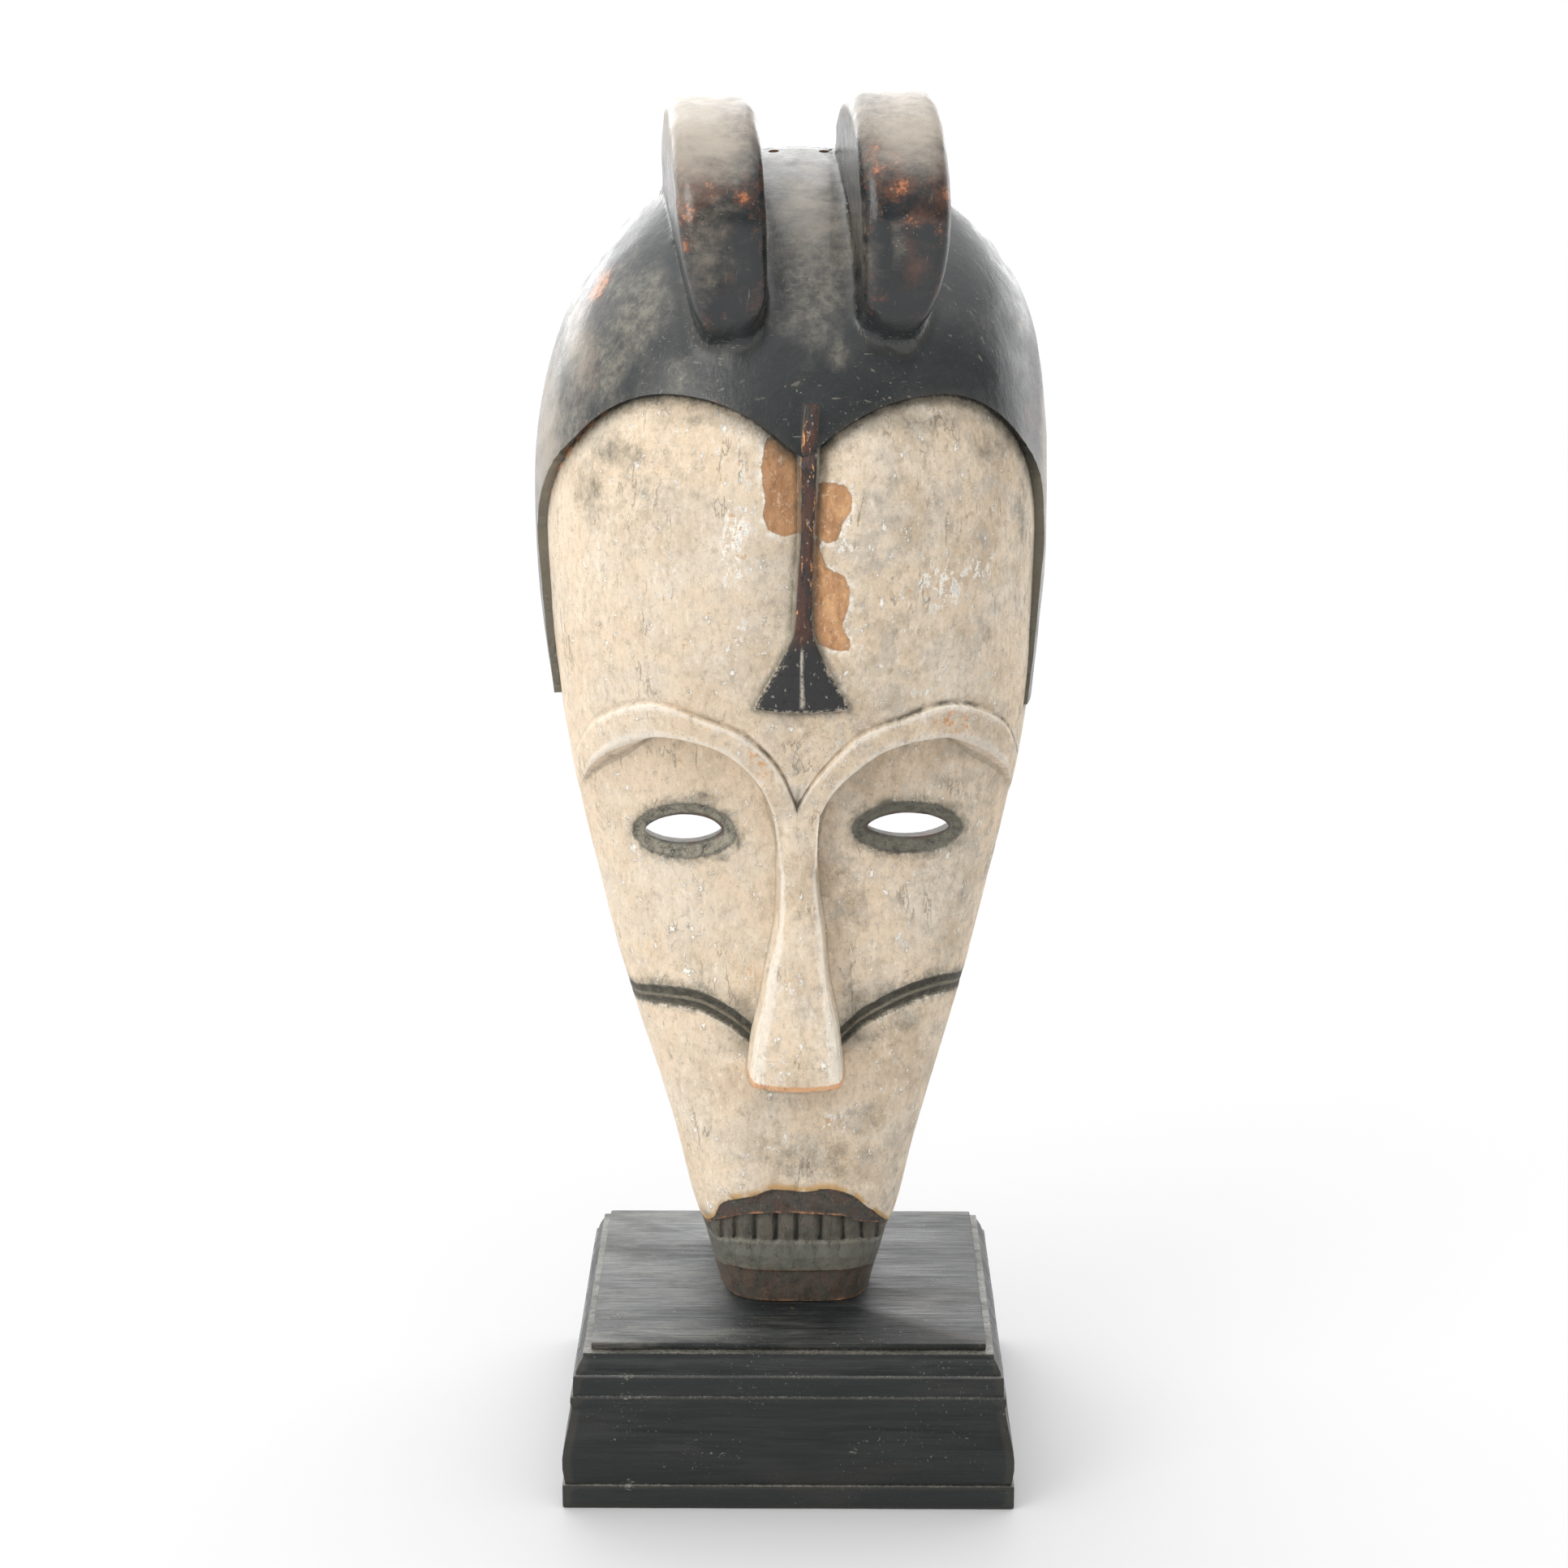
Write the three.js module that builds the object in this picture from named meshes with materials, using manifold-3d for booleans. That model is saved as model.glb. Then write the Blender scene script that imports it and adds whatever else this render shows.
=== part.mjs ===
// A long-faced wooden mask with two crests, carved from one block and hollow at the back,
// standing on a moulded wooden plinth. Millimetres, +Z up, the face looks along -Y.
// The origin is the middle of the plinth's underside.

import * as THREE from 'three';
import { mergeVertices } from 'three/addons/utils/BufferGeometryUtils.js';
import Module from 'manifold-3d';

const wasm = await Module();
wasm.setup();

// Overall sizes
const TOTAL_HEIGHT = 787.4;
const JOINT_GAP = 0.3;

// Plinth: half widths and heights of its mouldings
const PLINTH_SIDE_SHORTER = 18.1; // the half depth is this much less than the half width
const BASE_BOARD = { half: 129.2, bottom: 0, top: 14.7, edge: 1.5 };
const MOULDING_PROFILE = [
  [127.6, 15.0], [128.3, 19.5], [128.9, 24.5], [128.9, 30.0], [128.1, 36.0], [126.7, 43.0],
  [125.1, 50.0], [124.0, 56.0], [123.4, 60.5], [124.1, 63.5], [123.9, 66.6], [122.6, 67.3],
  [122.3, 78.6], [121.2, 79.4], [120.2, 82.6], [118.6, 85.8], [116.9, 88.6], [116.7, 91.0],
];
const TOP_BOARD = { half: 112.4, bottom: 91.3, top: 95.4, edge: 0.8 };

// Mask: the block it is carved from
const CHIN_BOTTOM = TOP_BOARD.top + JOINT_GAP;
const RIM_PLANE = 62;        // the flat back rim lies in this plane
const TURN = 0.05;           // the mask faces a little to one side: sideways shift for each mm forward
const CROWN = 746;           // top of the bare head, without the cap
const WIDEST = 560;          // height where the head is widest
const WIDEST_HALF = 140.6;
const DOME_ROUNDNESS = 2.2;
const CAP = 6;               // the cap stands this much above the head at its sides and top
const CAP_FRONT = 3.5;       // and this much at its front edge
const CAP_BOTTOM = 446;
const WALL = 15;
const HOLLOW_BOTTOM = 142;
const HOLLOW_BROW = [440, 505];  // the hollow opens out behind the brow over these heights
const HOLLOW_DOME = [600, 660];  // and takes up the cap's thickness over these

// Middle line, half width, section roundness and depth of the head by height
const middleAt = through([
  [95.7, 2.8], [200, 2.8], [300, 1.9], [450, 1.8], [560, 2.4], [620, 3.8], [690, 7.2], [750, 6.5],
]);
const halfWidthAt = through([
  [95.7, 46], [122, 53], [150, 62.5], [189, 72], [289, 102], [338, 114], [386, 125],
  [424, 131.5], [453, 134.5], [500, 138], [WIDEST, WIDEST_HALF],
]);
const squarenessAt = through([
  [95.7, 4.6], [160, 4], [300, 3.4], [400, 3.1], [470, 2.7], [560, 2.4], [CROWN, 2.1],
]);
const foreheadAt = through([
  [395, 53], [425, 62], [460, 72], [500, 80], [560, 86], [600, 83.5], [640, 72], [670, 58],
  [705, 31], [728, 0], [740, -31], [CROWN, -RIM_PLANE],
]);
const faceAt = through([
  [95.7, 41.7], [112, 44], [150, 50], [200, 50], [250, 48], [320, 43.5], [375, 42], [410, 43.5], [450, 50],
]);

// Brows, seen from the front: x is measured from the middle line
const NOTCH = 398;
const BROW_TOP = { x: 75, z: 459, fall: 0.0142 };
const BROW_UNDER = { x: 72, z: 440.4, start: 10, foot: 388, fall: 0.013 };
const BROW_PROUD = 2.6;
const LOBE_SWELL = 4.5;

// Cheek grooves, mouth and chin
const GROOVE = { start: 24, low: 257, high: 282, reach: 18, depth: 2.6, half: 6 };
const LIP_TOP = 167.5;
const TEETH_TOP = 154.5;
const TEETH_BOTTOM = 137;
const LIP_BOTTOM = 115.5;
const TEETH_DEPTH = 3.4;
const TEETH_EDGES = [-43, -35.5, -25.5, -14.2, -2.2, 10.5, 23.5, 34, 42.5];
const GAP_RADIUS = 2;

// Nose: height, half width of its flat front, forward reach; its sides slope back and outwards
const NOSE = [
  [402, 9.5, 53], [378, 10.8, 55.5], [345, 11.4, 59], [325, 12.6, 62], [308, 16.4, 65],
  [290, 19.8, 68], [268, 23.6, 71.5], [245, 26.3, 75],
];
const NOSE_FOOT = { wider: 3, back: 30, root: 20 };

// Median ridge and its flared foot: height, half width, how far it stands above the plain head
const RIDGE_ROOT = 6;
const RIDGE = [
  [629, 3.2, 4.5], [608, 4.6, 5.5], [564, 3.9, 4.5], [526, 4.5, 4], [506, 5.3, 3.5], [498, 8, 3.2],
  [480, 16.5, 3], [463, 25.5, 3], [459, 22, 3],
];

// Eyes: a carved almond that narrows to a slit right through the wall and opens again inside
const EYE = { x: 63, z: 383, pinch: 0.25, points: 24 };
// Half length, half height and forward place of each ring, from the inside out
const EYE_RINGS = [[27.4, 17, -23], [22.4, 9, 31], [30, 17.5, 38], [37.5, 22.75, 59]];

// Lobed edge of the cap, seen from the front
const LOBE = { middle: 601, inner: 8, innerZ: 606, x: 70, z: 631, side: 137, sideZ: 543, foot: 131.5 };
const LOBE_DEPTH = { back: 40, front: 140 };

// Crests: side outline as forward and height, thickness, how they stand
const CREST_OUTLINE = [
  [-58, 648], [-74, 657], [-84, 680], [-86, 703], [-88, 726], [-82, 750], [-66, 770], [-42, 782.5],
  [-12, TOTAL_HEIGHT], [18, 783], [42, 770], [56, 750], [58, 728], [48, 706], [14, 680], [-26, 654],
];
const CREST = {
  x: 48, aside: -2, thick: 47, round: 10, skew: 0.05, skewFrom: -10,
  foot: 652, footRise: 30, footNarrow: 0.35,
};
const LEFT_CREST_LOWER = 3;

// Drilled holes along the rim
const HOLE_RADIUS = 3;
const TOP_HOLES = [-14, 14];
const SIDE_HOLE_HEIGHT = 549;
const HOLE_FROM_RIM = 11;
const HOLE_REACH = 70;

function through(points) {
  const last = points.length - 1;
  const slope = points.map((_, i) => {
    const a = points[Math.max(i - 1, 0)];
    const b = points[Math.min(i + 1, last)];
    return (b[1] - a[1]) / (b[0] - a[0]);
  });
  return (at) => {
    const x = THREE.MathUtils.clamp(at, points[0][0], points[last][0]);
    let i = 0;
    while (i < last - 1 && x > points[i + 1][0]) i += 1;
    const step = points[i + 1][0] - points[i][0];
    const t = (x - points[i][0]) / step;
    const s = 1 - t;
    return points[i][1] * s * s * (1 + 2 * t) + points[i + 1][1] * t * t * (3 - 2 * t)
      + step * t * s * (slope[i] * s - slope[i + 1] * t);
  };
}

const smooth = (value, from, to) => THREE.MathUtils.smoothstep(value, from, to);
const { lerp } = THREE.MathUtils;

// Height within the dome, with the crown raised or lowered by an offset
function domeHeight(z, proud) {
  return z < WIDEST ? z : WIDEST + (z - WIDEST) * (CROWN - WIDEST) / (CROWN + proud - WIDEST);
}

function halfWidth(z, proud) {
  if (z < WIDEST) return halfWidthAt(z) + proud;
  const t = Math.min((z - WIDEST) / (CROWN + proud - WIDEST), 1);
  return (WIDEST_HALF + proud) * (1 - t ** DOME_ROUNDNESS) ** (1 / DOME_ROUNDNESS);
}

// Upper and lower edges of the brow at a distance from the middle line
function browTop(x) {
  if (x > BROW_TOP.x) return BROW_TOP.z - BROW_TOP.fall * (x - BROW_TOP.x) ** 2;
  return NOTCH + (BROW_TOP.z - NOTCH) * Math.sin(Math.PI / 2 * (x / BROW_TOP.x) ** 0.68);
}

function browUnder(x) {
  if (x > BROW_UNDER.x) return BROW_UNDER.z - BROW_UNDER.fall * (x - BROW_UNDER.x) ** 2;
  const t = Math.max(x - BROW_UNDER.start, 0) / (BROW_UNDER.x - BROW_UNDER.start);
  return BROW_UNDER.foot + (BROW_UNDER.z - BROW_UNDER.foot) * Math.sin(Math.PI / 2 * t ** 0.6);
}

// The brow's underside is steep near the nose and opens into a sloped facet outwards
const browSlope = (x) => 2.5 + 13 * smooth(x, 78, 113);

function grooveHeight(x) {
  const drop = Math.exp(-Math.max(x - GROOVE.start, 0) / GROOVE.reach);
  return GROOVE.high - (GROOVE.high - GROOVE.low) * drop;
}

// The forehead is lower along its middle line than at its two lobes
function lobeSwell(out, z, from) {
  const high = smooth(z, from, from + 60) * (1 - smooth(z, WIDEST, 635));
  return LOBE_SWELL * high * (smooth(out, 0, 34) - 1);
}

// How far the carved face stands forward of the rim plane's origin at a front-view point
function carvedForward(x, z) {
  const out = Math.abs(x);
  const under = browUnder(out);
  const top = browTop(out);
  const shelf = smooth(z, under - browSlope(out), under);
  let forward = lerp(faceAt(z), foreheadAt(z), shelf);
  if (z > under) {
    forward += BROW_PROUD * (1 - smooth(z, top - 1.5, top + 0.5));
    forward += lobeSwell(out, z, top);
  }
  const away = Math.abs(z - grooveHeight(out));
  forward -= GROOVE.depth * (1 - smooth(away, GROOVE.half * 0.4, GROOVE.half)) * smooth(out, 18, 26);
  forward -= mouthDepth(z);
  return forward;
}

// Depth of the mouth's bands below the face: upper lip, teeth, lower lip and chin block
function mouthDepth(z) {
  if (z > LIP_TOP + 2) return 0;
  if (z > TEETH_TOP) return 0.8 * (1 - smooth(z, LIP_TOP - 1, LIP_TOP + 2));
  if (z > TEETH_BOTTOM) return 0.8 + TEETH_DEPTH * (1 - smooth(z, TEETH_TOP - 1.5, TEETH_TOP));
  if (z > LIP_BOTTOM) return 1 + (TEETH_DEPTH - 1) * smooth(z, TEETH_BOTTOM - 8, TEETH_BOTTOM);
  return 2.8 - 1.8 * smooth(z, LIP_BOTTOM - 2, LIP_BOTTOM);
}

// A point of the head: angle across the section from rim to rim, height, offset
function headPoint(angle, z, proud, forwardAt) {
  const n = squarenessAt(z);
  const sin = Math.sin(angle);
  const cos = Math.max(Math.cos(angle), 0);
  const reach = (Math.abs(sin) ** n + cos ** n) ** (-1 / n);
  const x = halfWidth(z, proud) * reach * sin;
  const flat = Math.abs(Math.abs(angle) - Math.PI / 2) < 1e-9;
  const y = flat ? RIM_PLANE : RIM_PLANE - (RIM_PLANE + forwardAt(x, z)) * reach * cos;
  return new THREE.Vector3(x, y, z);
}

// The plain head's front at a front-view point, for pieces that lie on it
function frontAt(x, z, proud) {
  const n = squarenessAt(z);
  const across = Math.min(Math.abs(x) / halfWidth(z, 0), 1);
  const forward = foreheadAt(z) + lobeSwell(Math.abs(x), z, BROW_TOP.z) + proud;
  return RIM_PLANE - (RIM_PLANE + forward) * (1 - across ** n) ** (1 / n);
}

// A closed solid between two grids of points, front(u, v) and back(u, v), u and v from 0 to 1;
// where u runs all the way round, the grids meet themselves and need no side walls
function solidBetween(front, back, across, up, allRound = false) {
  const points = [];
  const index = [];
  for (const side of [front, back]) {
    for (let j = 0; j <= up; j += 1) {
      for (let i = 0; i <= across; i += 1) points.push(side(i / across, j / up));
    }
  }
  const at = (side, i, j) => (side * (up + 1) + j) * (across + 1) + i;
  const quad = (a, b, c, d) => index.push(a, b, c, a, c, d);
  for (let j = 0; j < up; j += 1) {
    for (let i = 0; i < across; i += 1) {
      quad(at(0, i, j), at(0, i + 1, j), at(0, i + 1, j + 1), at(0, i, j + 1));
      quad(at(1, i, j + 1), at(1, i + 1, j + 1), at(1, i + 1, j), at(1, i, j));
    }
    if (allRound) continue;
    quad(at(1, 0, j), at(0, 0, j), at(0, 0, j + 1), at(1, 0, j + 1));
    quad(at(0, across, j), at(1, across, j), at(1, across, j + 1), at(0, across, j + 1));
  }
  for (let i = 0; i < across; i += 1) {
    quad(at(1, i, 0), at(1, i + 1, 0), at(0, i + 1, 0), at(0, i, 0));
    quad(at(0, i, up), at(0, i + 1, up), at(1, i + 1, up), at(1, i, up));
  }
  const geometry = new THREE.BufferGeometry().setFromPoints(points);
  geometry.setIndex(index);
  return geometry;
}

// A geometry as a solid that can be joined and cut
function solid(geometry) {
  const plain = geometry.clone();
  plain.deleteAttribute('normal');
  plain.deleteAttribute('uv');
  const merged = mergeVertices(plain, 1e-4);
  const source = merged.index.array;
  const triangles = [];
  for (let i = 0; i < source.length; i += 3) {
    const [a, b, c] = [source[i], source[i + 1], source[i + 2]];
    if (a !== b && b !== c && c !== a) triangles.push(a, b, c);
  }
  return new wasm.Manifold(new wasm.Mesh({
    numProp: 3,
    vertProperties: new Float32Array(merged.attributes.position.array),
    triVerts: new Uint32Array(triangles),
  }));
}

function geometryOf(manifold) {
  const mesh = manifold.getMesh();
  const geometry = new THREE.BufferGeometry();
  geometry.setAttribute('position', new THREE.BufferAttribute(new Float32Array(mesh.vertProperties), 3));
  geometry.setIndex(new THREE.BufferAttribute(new Uint32Array(mesh.triVerts), 1));
  return geometry;
}

// Heights of the carved head's rows at one angle, so that edges of the carving follow rows
function carvedRows(angle) {
  const across = (z) => Math.abs(headPoint(angle, z, 0, faceAt).x);
  const met = (edge, start) => {
    let z = start;
    for (let turn = 0; turn < 6; turn += 1) z = edge(across(z));
    return z;
  };
  const under = met(browUnder, BROW_UNDER.foot);
  const top = Math.max(met(browTop, NOTCH), under + 6);
  const slope = browSlope(across(under));
  const groove = met(grooveHeight, GROOVE.high);
  const marks = [
    [CHIN_BOTTOM, 0], [LIP_BOTTOM - 2, 2], [LIP_BOTTOM, 1], [TEETH_BOTTOM - 8, 1], [TEETH_BOTTOM, 2],
    [TEETH_TOP - 1.5, 1], [TEETH_TOP, 1], [LIP_TOP - 1, 1], [LIP_TOP + 2, 1],
    [groove - GROOVE.half, 6], [groove - GROOVE.half * 0.4, 1], [groove + GROOVE.half * 0.4, 1],
    [groove + GROOVE.half, 1], [under - slope, 7], [under, 2], [(under + top) / 2, 1],
    [top - 1.5, 1], [top + 0.5, 1], [530, 5], [WIDEST, 2], [640, 5], [700, 2], [728, 1],
    [741, 1], [CROWN, 1],
  ];
  const rows = [marks[0][0]];
  for (let k = 1; k < marks.length; k += 1) {
    const [z, parts] = marks[k];
    for (let s = 1; s <= parts; s += 1) rows.push(lerp(marks[k - 1][0], z, s / parts));
  }
  return rows;
}

// The flat back of a grid that ends on the rim plane at both sides
function flatBack(front) {
  return (u, v) => new THREE.Vector3().lerpVectors(front(0, v), front(1, v), u);
}

function carvedHead() {
  const across = 36;
  const up = carvedRows(0).length - 1;
  const angleAt = (u) => (u - 0.5) * Math.PI;
  const front = (u, v) => {
    const angle = angleAt(u);
    return headPoint(angle, carvedRows(angle)[Math.round(v * up)], 0, carvedForward);
  };
  return solid(solidBetween(front, flatBack(front), across, up));
}

// The cap: the head grown by the cap's thickness, less what shows the forehead lobes
function cap() {
  const across = 36;
  const up = 22;
  const top = CROWN + CAP;
  const front = (u, v) => {
    const z = lerp(CAP_BOTTOM, top, Math.sin(v * Math.PI / 2) ** 1.3);
    const forwardAt = (_, height) => foreheadAt(domeHeight(height, CAP)) + CAP_FRONT;
    return headPoint((u - 0.5) * Math.PI, z, CAP, forwardAt);
  };
  return solid(solidBetween(front, flatBack(front), across, up)).subtract(lobeCutter());
}

// What is cut from the cap over the forehead, pushed through from the front
function lobeCutter() {
  const half = [[0, LOBE.middle]];
  for (let i = 0; i <= 7; i += 1) {
    const x = lerp(LOBE.inner, LOBE.x, i / 7);
    const inward = (LOBE.x - x) / (LOBE.x - LOBE.inner);
    half.push([x, LOBE.z - (LOBE.z - LOBE.innerZ) * inward ** 2.2]);
  }
  for (let i = 1; i <= 10; i += 1) {
    const turn = i / 10 * Math.PI / 2;
    half.push([
      LOBE.x + (LOBE.side - LOBE.x) * Math.sin(turn),
      LOBE.sideZ + (LOBE.z - LOBE.sideZ) * Math.cos(turn),
    ]);
  }
  half.push([LOBE.foot, CAP_BOTTOM - 20]);
  const right = half.map(([x, z]) => new THREE.Vector2(x, z));
  const left = half.slice(1).reverse().map(([x, z]) => new THREE.Vector2(-x, z));
  const outline = new THREE.Shape([...left, ...right]);
  const depth = LOBE_DEPTH.back + LOBE_DEPTH.front;
  const prism = new THREE.ExtrudeGeometry(outline, { depth, bevelEnabled: false });
  prism.rotateX(Math.PI / 2);
  prism.translate(0, LOBE_DEPTH.back, 0);
  return solid(prism);
}

// The hollow behind the face: a wall's thickness inside the head
function hollow() {
  const top = CROWN + CAP - WALL;
  const inside = (_, z) => {
    const dome = foreheadAt(domeHeight(z, CAP - WALL));
    const skin = lerp(faceAt(z), dome, smooth(z, ...HOLLOW_BROW));
    return skin - WALL + CAP * smooth(z, ...HOLLOW_DOME);
  };
  const front = (u, v) => {
    const z = lerp(HOLLOW_BOTTOM, top, Math.sin(v * Math.PI / 2));
    return headPoint((u - 0.5) * Math.PI, z, z < WIDEST ? -WALL : CAP - WALL, inside);
  };
  const back = (u, v) => front(u, v).setY(RIM_PLANE + 20);
  return solid(solidBetween(front, back, 20, 20));
}

function nose() {
  const rowAt = (v) => NOSE[Math.round(v * (NOSE.length - 1))];
  const front = (u, v) => {
    const [z, half, forward] = rowAt(1 - v);
    const foot = half + NOSE_FOOT.wider;
    const x = [-foot, -half, half, foot][Math.round(u * 3)];
    return new THREE.Vector3(x, -(Math.abs(x) > half ? NOSE_FOOT.back : forward), z);
  };
  const back = (u, v) => front(u, v).setY(-NOSE_FOOT.root);
  return solid(solidBetween(front, back, 3, NOSE.length - 1));
}

function medianRidge() {
  const rowAt = (v) => RIDGE[Math.round((1 - v) * (RIDGE.length - 1))];
  const surface = (outwards) => (u, v) => {
    const [z, half, proud] = rowAt(v);
    const x = (u * 2 - 1) * half;
    return new THREE.Vector3(x, frontAt(x, z, proud * outwards), z);
  };
  const root = (u, v) => surface(0)(u, v).add(new THREE.Vector3(0, RIDGE_ROOT, 0));
  return solid(solidBetween(surface(1), root, 6, RIDGE.length - 1));
}

// The almond of an eye, wide at the surface, narrow at the lid and wider again inside
function eyeCutter(side) {
  const last = EYE_RINGS.length - 1;
  const ringAt = (v) => EYE_RINGS[Math.round(v * last)];
  const wall = (u, v) => {
    const [long, high, forward] = ringAt(v);
    const turn = (Math.round(u * EYE.points) % EYE.points) / EYE.points * Math.PI * 2;
    const x = Math.cos(turn);
    const z = Math.sin(turn) * (1 - EYE.pinch * x * x);
    return new THREE.Vector3(side * EYE.x + long * x, -forward, EYE.z + high * z);
  };
  const core = (u, v) => new THREE.Vector3(side * EYE.x, -ringAt(v)[2], EYE.z);
  return solid(solidBetween(wall, core, EYE.points, last, true));
}

// A crest: a thick fin with rounded edges that stands over the dome and narrows to its foot
function crest(side) {
  const outline = new THREE.Shape();
  const points = CREST_OUTLINE.map(([y, z]) => new THREE.Vector3(y, z, 0));
  const curve = new THREE.CatmullRomCurve3(points, true);
  const steps = 26;
  outline.setFromPoints(curve.getPoints(steps).slice(0, steps).map(({ x, y }) => new THREE.Vector2(x, y)));
  const geometry = new THREE.ExtrudeGeometry(outline, {
    depth: CREST.thick - 2 * CREST.round,
    bevelThickness: CREST.round,
    bevelSize: CREST.round,
    bevelOffset: -CREST.round,
    bevelSegments: 3,
  });
  geometry.translate(0, 0, CREST.round - CREST.thick / 2);
  const position = geometry.attributes.position;
  for (let i = 0; i < position.count; i += 1) {
    const y = position.getX(i);
    const z = position.getY(i);
    const rise = THREE.MathUtils.clamp((z - CREST.foot) / CREST.footRise, 0, 1);
    const narrow = lerp(CREST.footNarrow, 1, Math.sqrt(1 - (1 - rise) ** 2));
    const middle = side * CREST.x + CREST.aside - (y - CREST.skewFrom) * CREST.skew;
    const x = position.getZ(i) * narrow + middle;
    position.setXYZ(i, x, y, z - (side < 0 ? LEFT_CREST_LOWER : 0));
  }
  return solid(geometry);
}

// A hole drilled near the rim, along a direction
function drill(x, z, towards) {
  const bit = new THREE.CylinderGeometry(HOLE_RADIUS, HOLE_RADIUS, HOLE_REACH, 12);
  bit.applyQuaternion(new THREE.Quaternion().setFromUnitVectors(new THREE.Vector3(0, 1, 0), towards));
  bit.translate(x, RIM_PLANE - HOLE_FROM_RIM, z);
  return solid(bit);
}

// Upright grooves that part the teeth
function teethGaps() {
  const middle = (TEETH_TOP + TEETH_BOTTOM) / 2;
  const n = squarenessAt(middle);
  return TEETH_EDGES.map((x) => {
    const groove = new THREE.CylinderGeometry(GAP_RADIUS, GAP_RADIUS, TEETH_TOP - TEETH_BOTTOM - 1, 4);
    groove.rotateX(Math.PI / 2);
    const across = (1 - (Math.abs(x) / halfWidth(middle, 0)) ** n) ** (1 / n);
    const surface = RIM_PLANE - (RIM_PLANE + faceAt(middle) - mouthDepth(middle)) * across;
    groove.translate(x, surface, middle - 0.5);
    return solid(groove);
  });
}

function mask() {
  const up = new THREE.Vector3(0, 0, 1);
  const sideways = new THREE.Vector3(1, 0, 0);
  const holes = [
    ...TOP_HOLES.map((x) => drill(x, CROWN, up)),
    ...[-WIDEST_HALF, WIDEST_HALF].map((x) => drill(x, SIDE_HOLE_HEIGHT, sideways)),
  ];
  const pieces = [cap(), crest(-1), crest(1), nose(), medianRidge()];
  const cutters = [hollow(), eyeCutter(-1), eyeCutter(1), ...teethGaps(), ...holes];
  let body = carvedHead();
  for (const piece of pieces) body = body.add(piece);
  for (const cutter of cutters) body = body.subtract(cutter);
  const geometry = geometryOf(body);
  const position = geometry.attributes.position;
  for (let i = 0; i < position.count; i += 1) {
    position.setX(i, position.getX(i) + middleAt(position.getZ(i)) - position.getY(i) * TURN);
  }
  return geometry;
}

// A block with square corners whose four sides follow one profile of half width and height
function mouldedBlock(profile) {
  const corner = (u, v) => {
    const [half, z] = profile[Math.round(v * (profile.length - 1))];
    const depth = half - PLINTH_SIDE_SHORTER;
    const corners = [[-half, -depth], [half, -depth], [half, depth], [-half, depth]];
    const [x, y] = corners[Math.round(u * 4) % 4];
    return new THREE.Vector3(x, y, z);
  };
  const axis = (u, v) => corner(u, v).setX(0).setY(0);
  return geometryOf(solid(solidBetween(corner, axis, 4, profile.length - 1, true)));
}

// A flat board with its edges eased
function board({ half, bottom, top, edge }) {
  const softer = edge / 2;
  return mouldedBlock([
    [half - edge, bottom], [half, bottom + edge], [half, top - softer], [half - softer, top],
  ]);
}

function named(name, geometry, color, roughness) {
  const mesh = new THREE.Mesh(geometry, new THREE.MeshStandardMaterial({ color, roughness, metalness: 0 }));
  mesh.name = name;
  return mesh;
}

const group = new THREE.Group();
group.add(
  named('mask', mask(), '#cdbfa8', 0.8),
  named('plinth_top_board', board(TOP_BOARD), '#2a2e2e', 0.55),
  named('plinth_moulding', mouldedBlock(MOULDING_PROFILE), '#1c201f', 0.5),
  named('plinth_base_board', board(BASE_BOARD), '#1c1f1e', 0.5),
);

export default group;
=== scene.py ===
"""A long-faced wooden mask with two crests, whitened with kaolin, on a moulded black plinth.

Sizes are millimetres until a mesh is written. Z is up and the face looks along -Y.
"""
import logging
import math
from dataclasses import dataclass, field
from enum import Enum

import bmesh
import bpy
import numpy as np
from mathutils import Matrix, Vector, noise


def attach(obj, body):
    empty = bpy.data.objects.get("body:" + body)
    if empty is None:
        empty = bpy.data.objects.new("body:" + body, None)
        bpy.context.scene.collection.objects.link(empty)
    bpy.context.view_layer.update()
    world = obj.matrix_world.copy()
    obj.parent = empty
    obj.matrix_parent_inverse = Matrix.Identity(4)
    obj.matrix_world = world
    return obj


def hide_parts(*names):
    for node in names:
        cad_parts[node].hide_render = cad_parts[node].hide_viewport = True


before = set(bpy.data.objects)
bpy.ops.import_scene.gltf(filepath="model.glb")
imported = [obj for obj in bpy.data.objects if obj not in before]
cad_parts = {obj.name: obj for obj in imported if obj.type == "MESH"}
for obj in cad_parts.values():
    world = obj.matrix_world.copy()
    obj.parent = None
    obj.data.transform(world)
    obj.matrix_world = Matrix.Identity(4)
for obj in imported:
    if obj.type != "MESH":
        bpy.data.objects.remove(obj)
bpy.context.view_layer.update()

LOG = logging.getLogger("mask")
MM = 0.001
TINY = 1e-6
Array = np.ndarray
Outline = list[tuple[float, float]]


def smooth(value: Array, start: Array | float, end: Array | float) -> Array:
    """A soft step from 0 at start to 1 at end."""
    t = np.clip((value - start) / (end - start), 0.0, 1.0)
    return t * t * (3 - 2 * t)


def lerp(a: Array | float, b: Array | float, t: Array | float) -> Array:
    """The value a share t of the way from a to b."""
    return a + (b - a) * t


def fractal(points: Array, size: float, octaves: int = 3, seed: float = 0.0) -> Array:
    """Soft random height, about -1 to 1, at each point.

    Args:
        points: Places in millimetres, one row each.
        size: Width of the largest swell, in millimetres.
        octaves: How many finer layers are added.
        seed: Moves the pattern, so that two uses differ.

    Returns:
        One value for each point.
    """
    shift = Vector((seed, seed * 0.7, -seed))
    return np.array([noise.fractal(Vector(p) / size + shift, 1.0, 2.0, octaves) for p in points.tolist()])


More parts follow.
